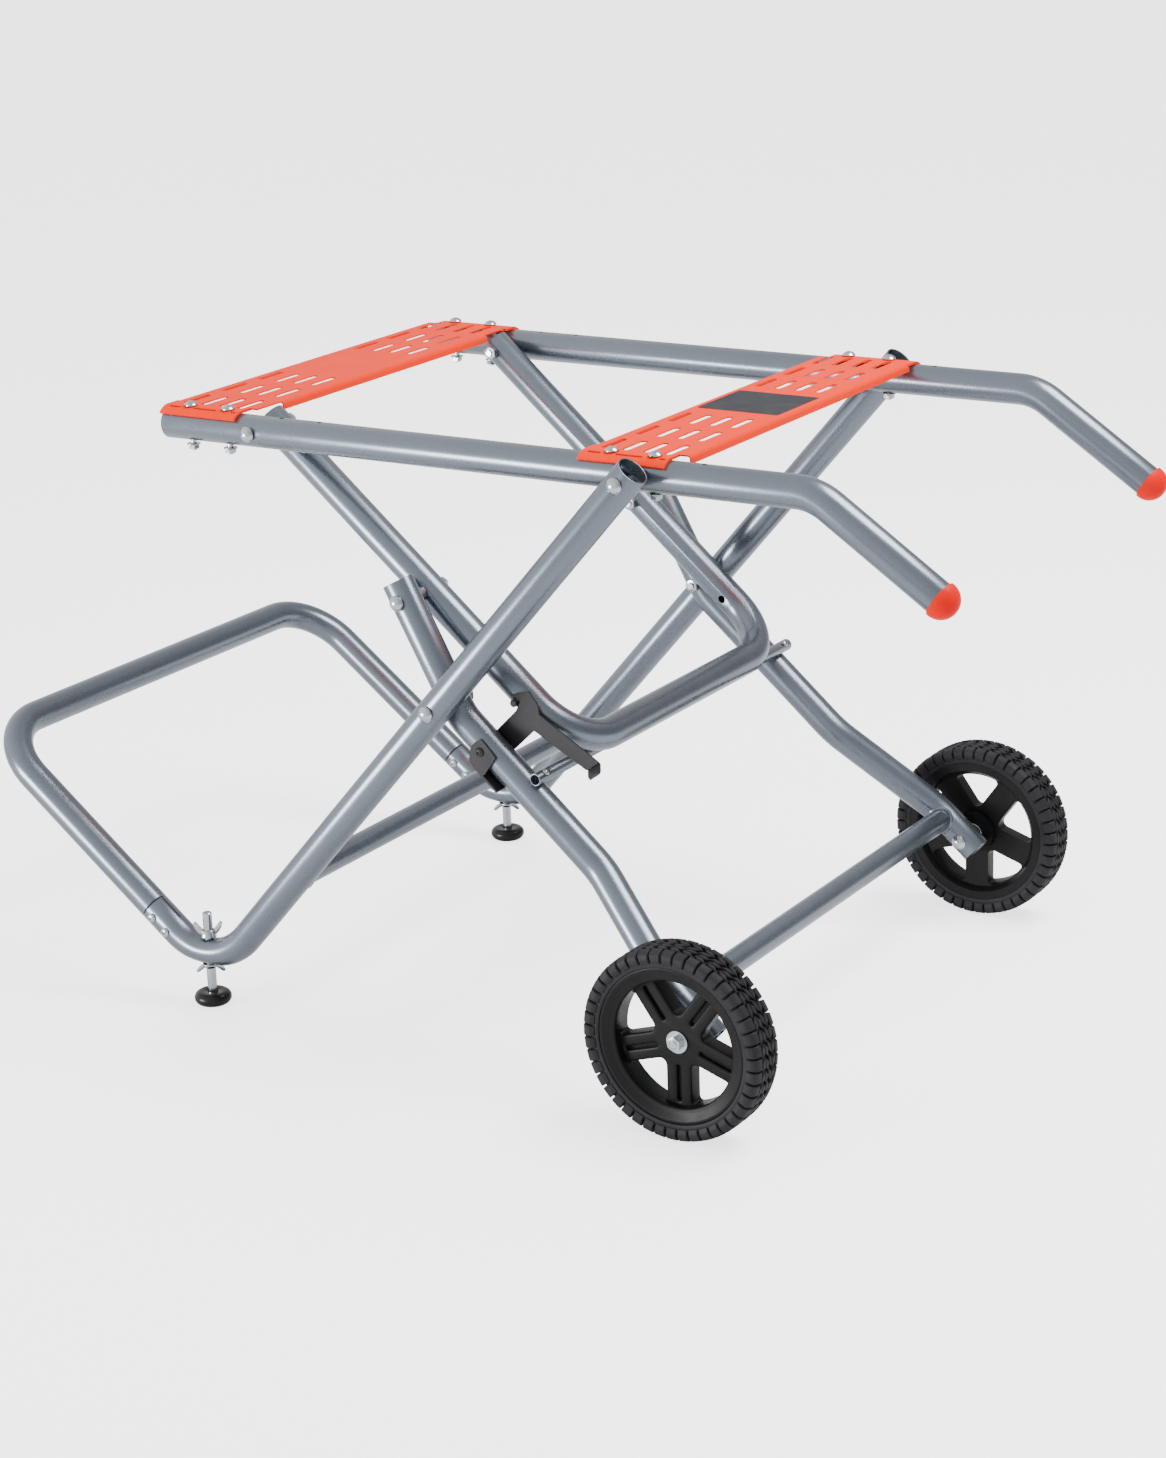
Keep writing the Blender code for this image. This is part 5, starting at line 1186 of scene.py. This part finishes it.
# %% Tyre
BLOCKS, TREAD_LOW, TREAD_TOP, SHOULDER_HALF = 44, 0.0895, 0.0955, 0.0057
SHOULDER = ((0.0955, 0.0122), (0.0952, 0.0160), (0.0941, 0.0192), (0.0914, 0.0217), (0.0862, 0.0222),
            (0.0816, 0.0199), (0.0830, 0.0186), (0.0885, 0.0165), (0.0905, 0.0122))
SHOULDER_FOOT, SHOULDER_NARROW, SHOULDER_ROUND, MIDDLE_ROUND = 0.0870, 0.88, 0.0008, 0.0009
MIDDLE_ROWS = ((0.0059, 0.0113, -0.0056, 0.0047, 0.02), (0.0004, 0.0051, 0.0050, 0.0046, -0.42))
CARCASS = [(0.0783, 0.0186), (0.0792, 0.0192), (0.0815, 0.0194), (0.0850, 0.0190), (0.0885, 0.0172),
           (0.0905, 0.0140), (0.0915, 0.0090), (0.0917, 0.0)]


def shoulder_block():
    """A radial block over the +Z shoulder, at the +X side of the wheel."""
    points = [Vector((radius, -SHOULDER_HALF, height)) for radius, height in SHOULDER]
    item = plate_of(points, ACROSS * 2 * SHOULDER_HALF)
    pick(item, "vertices", lambda v: v.co.x < SHOULDER_FOOT)
    bpy.ops.transform.resize(value=(1, SHOULDER_NARROW, 1), center_override=(0, 0, 0))
    leave()
    return soften(item, SHOULDER_ROUND, 1, 30)


def middle_block(low, high, lean, half):
    """A slanted block of a middle row, at the +X side of the wheel."""
    item = block_between((TREAD_LOW, -half, low), (TREAD_TOP, half, high))
    pick(item, "vertices", lambda v: v.co.z > (low + high) / 2)
    bpy.ops.transform.translate(value=(0, lean, 0))
    leave()
    return soften(item, MIDDLE_ROUND, 1, 30)


def tyre():
    """A tyre about the origin. A row's last number is its offset round the wheel, in blocks."""
    section = CARCASS + [(radius, -height) for radius, height in reversed(CARCASS[:-1])]
    pieces = [lathe(section, 120, ring=True)]
    masters = [(shoulder_block(), 0.0)] + [(middle_block(*row), offset) for *row, offset in MIDDLE_ROWS]
    for index in range(BLOCKS):
        for item, offset in masters:
            for flip, half_step in ((0.0, 0.0), (math.pi, 0.5)):
                turn = 2 * math.pi / BLOCKS * (index + offset + half_step)
                pieces.append(copied(item, Matrix.Rotation(turn, 4, "Z") @ Matrix.Rotation(flip, 4, "X")))
    discard(*[item for item, _ in masters])
    return joined(pieces)


# %% [markdown]
# Both wheels come from the same moulds. An axle bolt comes from the inner side of the leg, a wide washer
# and a nut close it on the outer side, and the bolt's end shows. Between leg and hub it carries a spacer.

# %% Wheels on their axles
AXLE_HEAD, AXLE_R, AXLE_END_R, SPACER_R, SPACER_EDGE = (0.008, 0.0055), 0.005, 0.004, 0.0113, 0.0003
WASHER_BORE, WASHER_T, AXLE_NUT_H, AXLE_TAIL_OUT, NUT_SINK = 0.0043, 0.0016, 0.0062, 0.0012, 0.0001
centre_master, tyre_master = wheel_centre(), tyre()
head_seat, nut_seat = FLARED_HALF - TUBE_R - FIT, WHEEL_HALF + WEB_TOP + FIT
leg_out, hub_in = 2 * (TUBE_R + FIT), WHEEL_HALF + HUB_BACK - FIT - head_seat
shoulder, bolt_end = head_seat - nut_seat + FIT, nut_seat + WASHER_T + AXLE_NUT_H + AXLE_TAIL_OUT - head_seat
for side, word in SIDES.items():
    middle = frame_of(at(AXLE, side * WHEEL_HALF), ACROSS * side, UP)
    dress(copied(centre_master, middle), word + "_wheel_rim", WHEEL_PLASTIC, 40)
    dress(copied(tyre_master, middle), word + "_tyre", TYRE_RUBBER, 30)
    spacer = [(SPACER_R - SPACER_EDGE, -leg_out), (SPACER_R, -leg_out - SPACER_EDGE),
              (SPACER_R, SPACER_EDGE - hub_in), (SPACER_R - SPACER_EDGE, -hub_in)]
    section = head_section(*AXLE_HEAD) + [(AXLE_R, 0), (AXLE_R, -leg_out)] + spacer
    section += [(AXLE_R, -hub_in), (AXLE_R, shoulder)] + shank_section(AXLE_END_R, shoulder, -bolt_end)
    stand(lathe(section, 40), word + "_axle_bolt", ZINC, at(AXLE, side * head_seat), ACROSS * -side)
    washer = lathe([(WASHER_BORE, 0), (SPACER_R - SPACER_EDGE, 0), (SPACER_R, SPACER_EDGE),
                    (SPACER_R, WASHER_T - SPACER_EDGE), (SPACER_R - SPACER_EDGE, WASHER_T),
                    (WASHER_BORE, WASHER_T)], ring=True)
    nut = joined([washer, hex_nut(M8_FLATS, WASHER_T - NUT_SINK, WASHER_T + AXLE_NUT_H)])
    stand(nut, word + "_axle_nut", ZINC, at(AXLE, side * nut_seat), ACROSS * side)
discard(centre_master, tyre_master)

# %% [markdown]
# ## Studio
# The stand is photographed on white. Round tubes show what is around them: in the photograph each has a
# soft bright band along the side that is turned to the camera's left, which is the reflection of a low,
# wide light in front of that side. A broad light from the upper right falls on the plates, where it makes
# no glare towards the camera and leaves the tops of the rails dark, as in the photograph. The world is
# brighter towards the left than above, so the tubes keep a light and a dark side. The floor glows for the
# camera alone, which makes it as white as a lit paper ground and lights nothing.

# %% Floor, world and lights
FLOOR_SIZE, FLOOR_ROUGHNESS, FLOOR_SPECULAR, FLOOR_GLOW = 60, 0.85, 0.1, 2.2
FLOOR_COLOUR, WHITE = (0.90, 0.90, 0.90, 1), (1, 1, 1, 1)
BRIGHT_SIDE, WORLD_LOW, WORLD_HIGH = Vector((-0.75, -0.45, -0.10)), 0.35, 1.9

deselect()
bpy.ops.mesh.primitive_plane_add(size=FLOOR_SIZE, location=(0, 0, 0))
ground = bpy.context.object
ground.name = "studio_floor"
floor_paint = bpy.data.materials.new("pale_floor")
floor_paint.use_nodes = True
nodes, links = floor_paint.node_tree.nodes, floor_paint.node_tree.links
shader = nodes["Principled BSDF"].inputs
for label, value in (("Base Color", FLOOR_COLOUR), ("Roughness", FLOOR_ROUGHNESS),
                     ("Specular IOR Level", FLOOR_SPECULAR), ("Emission Color", WHITE)):
    shader[label].default_value = value
seen, glow = nodes.new("ShaderNodeLightPath"), nodes.new("ShaderNodeMath")
glow.operation = "MULTIPLY"
glow.inputs[1].default_value = FLOOR_GLOW
links.new(seen.outputs["Is Camera Ray"], glow.inputs[0])
links.new(glow.outputs["Value"], shader["Emission Strength"])
ground.data.materials.append(floor_paint)

world = bpy.data.worlds.new("studio")
world.use_nodes = True
nodes, links = world.node_tree.nodes, world.node_tree.links
nodes["Background"].inputs["Color"].default_value = WHITE
direction, towards = nodes.new("ShaderNodeTexCoord"), nodes.new("ShaderNodeVectorMath")
towards.operation = "DOT_PRODUCT"
towards.inputs[1].default_value = BRIGHT_SIDE.normalized()
brightness = nodes.new("ShaderNodeMapRange")
for label, value in (("From Min", -1.0), ("From Max", 1.0), ("To Min", WORLD_LOW), ("To Max", WORLD_HIGH)):
    brightness.inputs[label].default_value = value
links.new(direction.outputs["Generated"], towards.inputs[0])
links.new(towards.outputs["Value"], brightness.inputs["Value"])
links.new(brightness.outputs["Result"], nodes["Background"].inputs["Strength"])
bpy.context.scene.world = world


def soft_light(name, place, aim, size, power):
    light = bpy.data.lights.new(name, "AREA")
    light.shape, light.size, light.size_y, light.energy = "RECTANGLE", size[0], size[1], power
    item = bpy.data.objects.new(name, light)
    bpy.context.scene.collection.objects.link(item)
    item.location = place
    item.rotation_euler = (Vector(aim) - Vector(place)).to_track_quat("-Z", "Y").to_euler()
    print("light", name, power, "W")


soft_light("low_front", (-1.6, -2.3, 0.30), (0, 0, 0.35), (1.0, 0.6), 72)
soft_light("above_right", (1.3, 0.5, 2.8), (0, 0, 0.5), (1.6, 1.4), 130)

# %% [markdown]
# The camera was fitted to the bolts, caps, wheels and pads seen in the photograph. It looks down a little
# and is rolled by two degrees, so its three directions are worked out and set as a matrix.

# %% Camera
CAMERA_AT, FOCAL_LENGTH, SENSOR = (1.73651, -2.66450, 1.29740), 78.38, 36
PITCH, ROLL = math.radians(18.1), math.radians(-2.1)
lens = bpy.data.cameras.new("camera")
lens.lens, lens.sensor_width = FOCAL_LENGTH, SENSOR
camera = bpy.data.objects.new("camera", lens)
bpy.context.scene.collection.objects.link(camera)
right = Vector((math.cos(VIEW_YAW), math.sin(VIEW_YAW), 0))
level = Vector((-math.sin(VIEW_YAW), math.cos(VIEW_YAW), 0))
ahead = level * math.cos(PITCH) - UP * math.sin(PITCH)
over = right.cross(ahead)
right_rolled = right * math.cos(ROLL) + over * math.sin(ROLL)
over_rolled = over * math.cos(ROLL) - right * math.sin(ROLL)
turn = Matrix((right_rolled, over_rolled, -ahead)).transposed().to_4x4()
camera.matrix_world = Matrix.Translation(CAMERA_AT) @ turn
bpy.context.scene.camera = camera
print("camera at", CAMERA_AT)
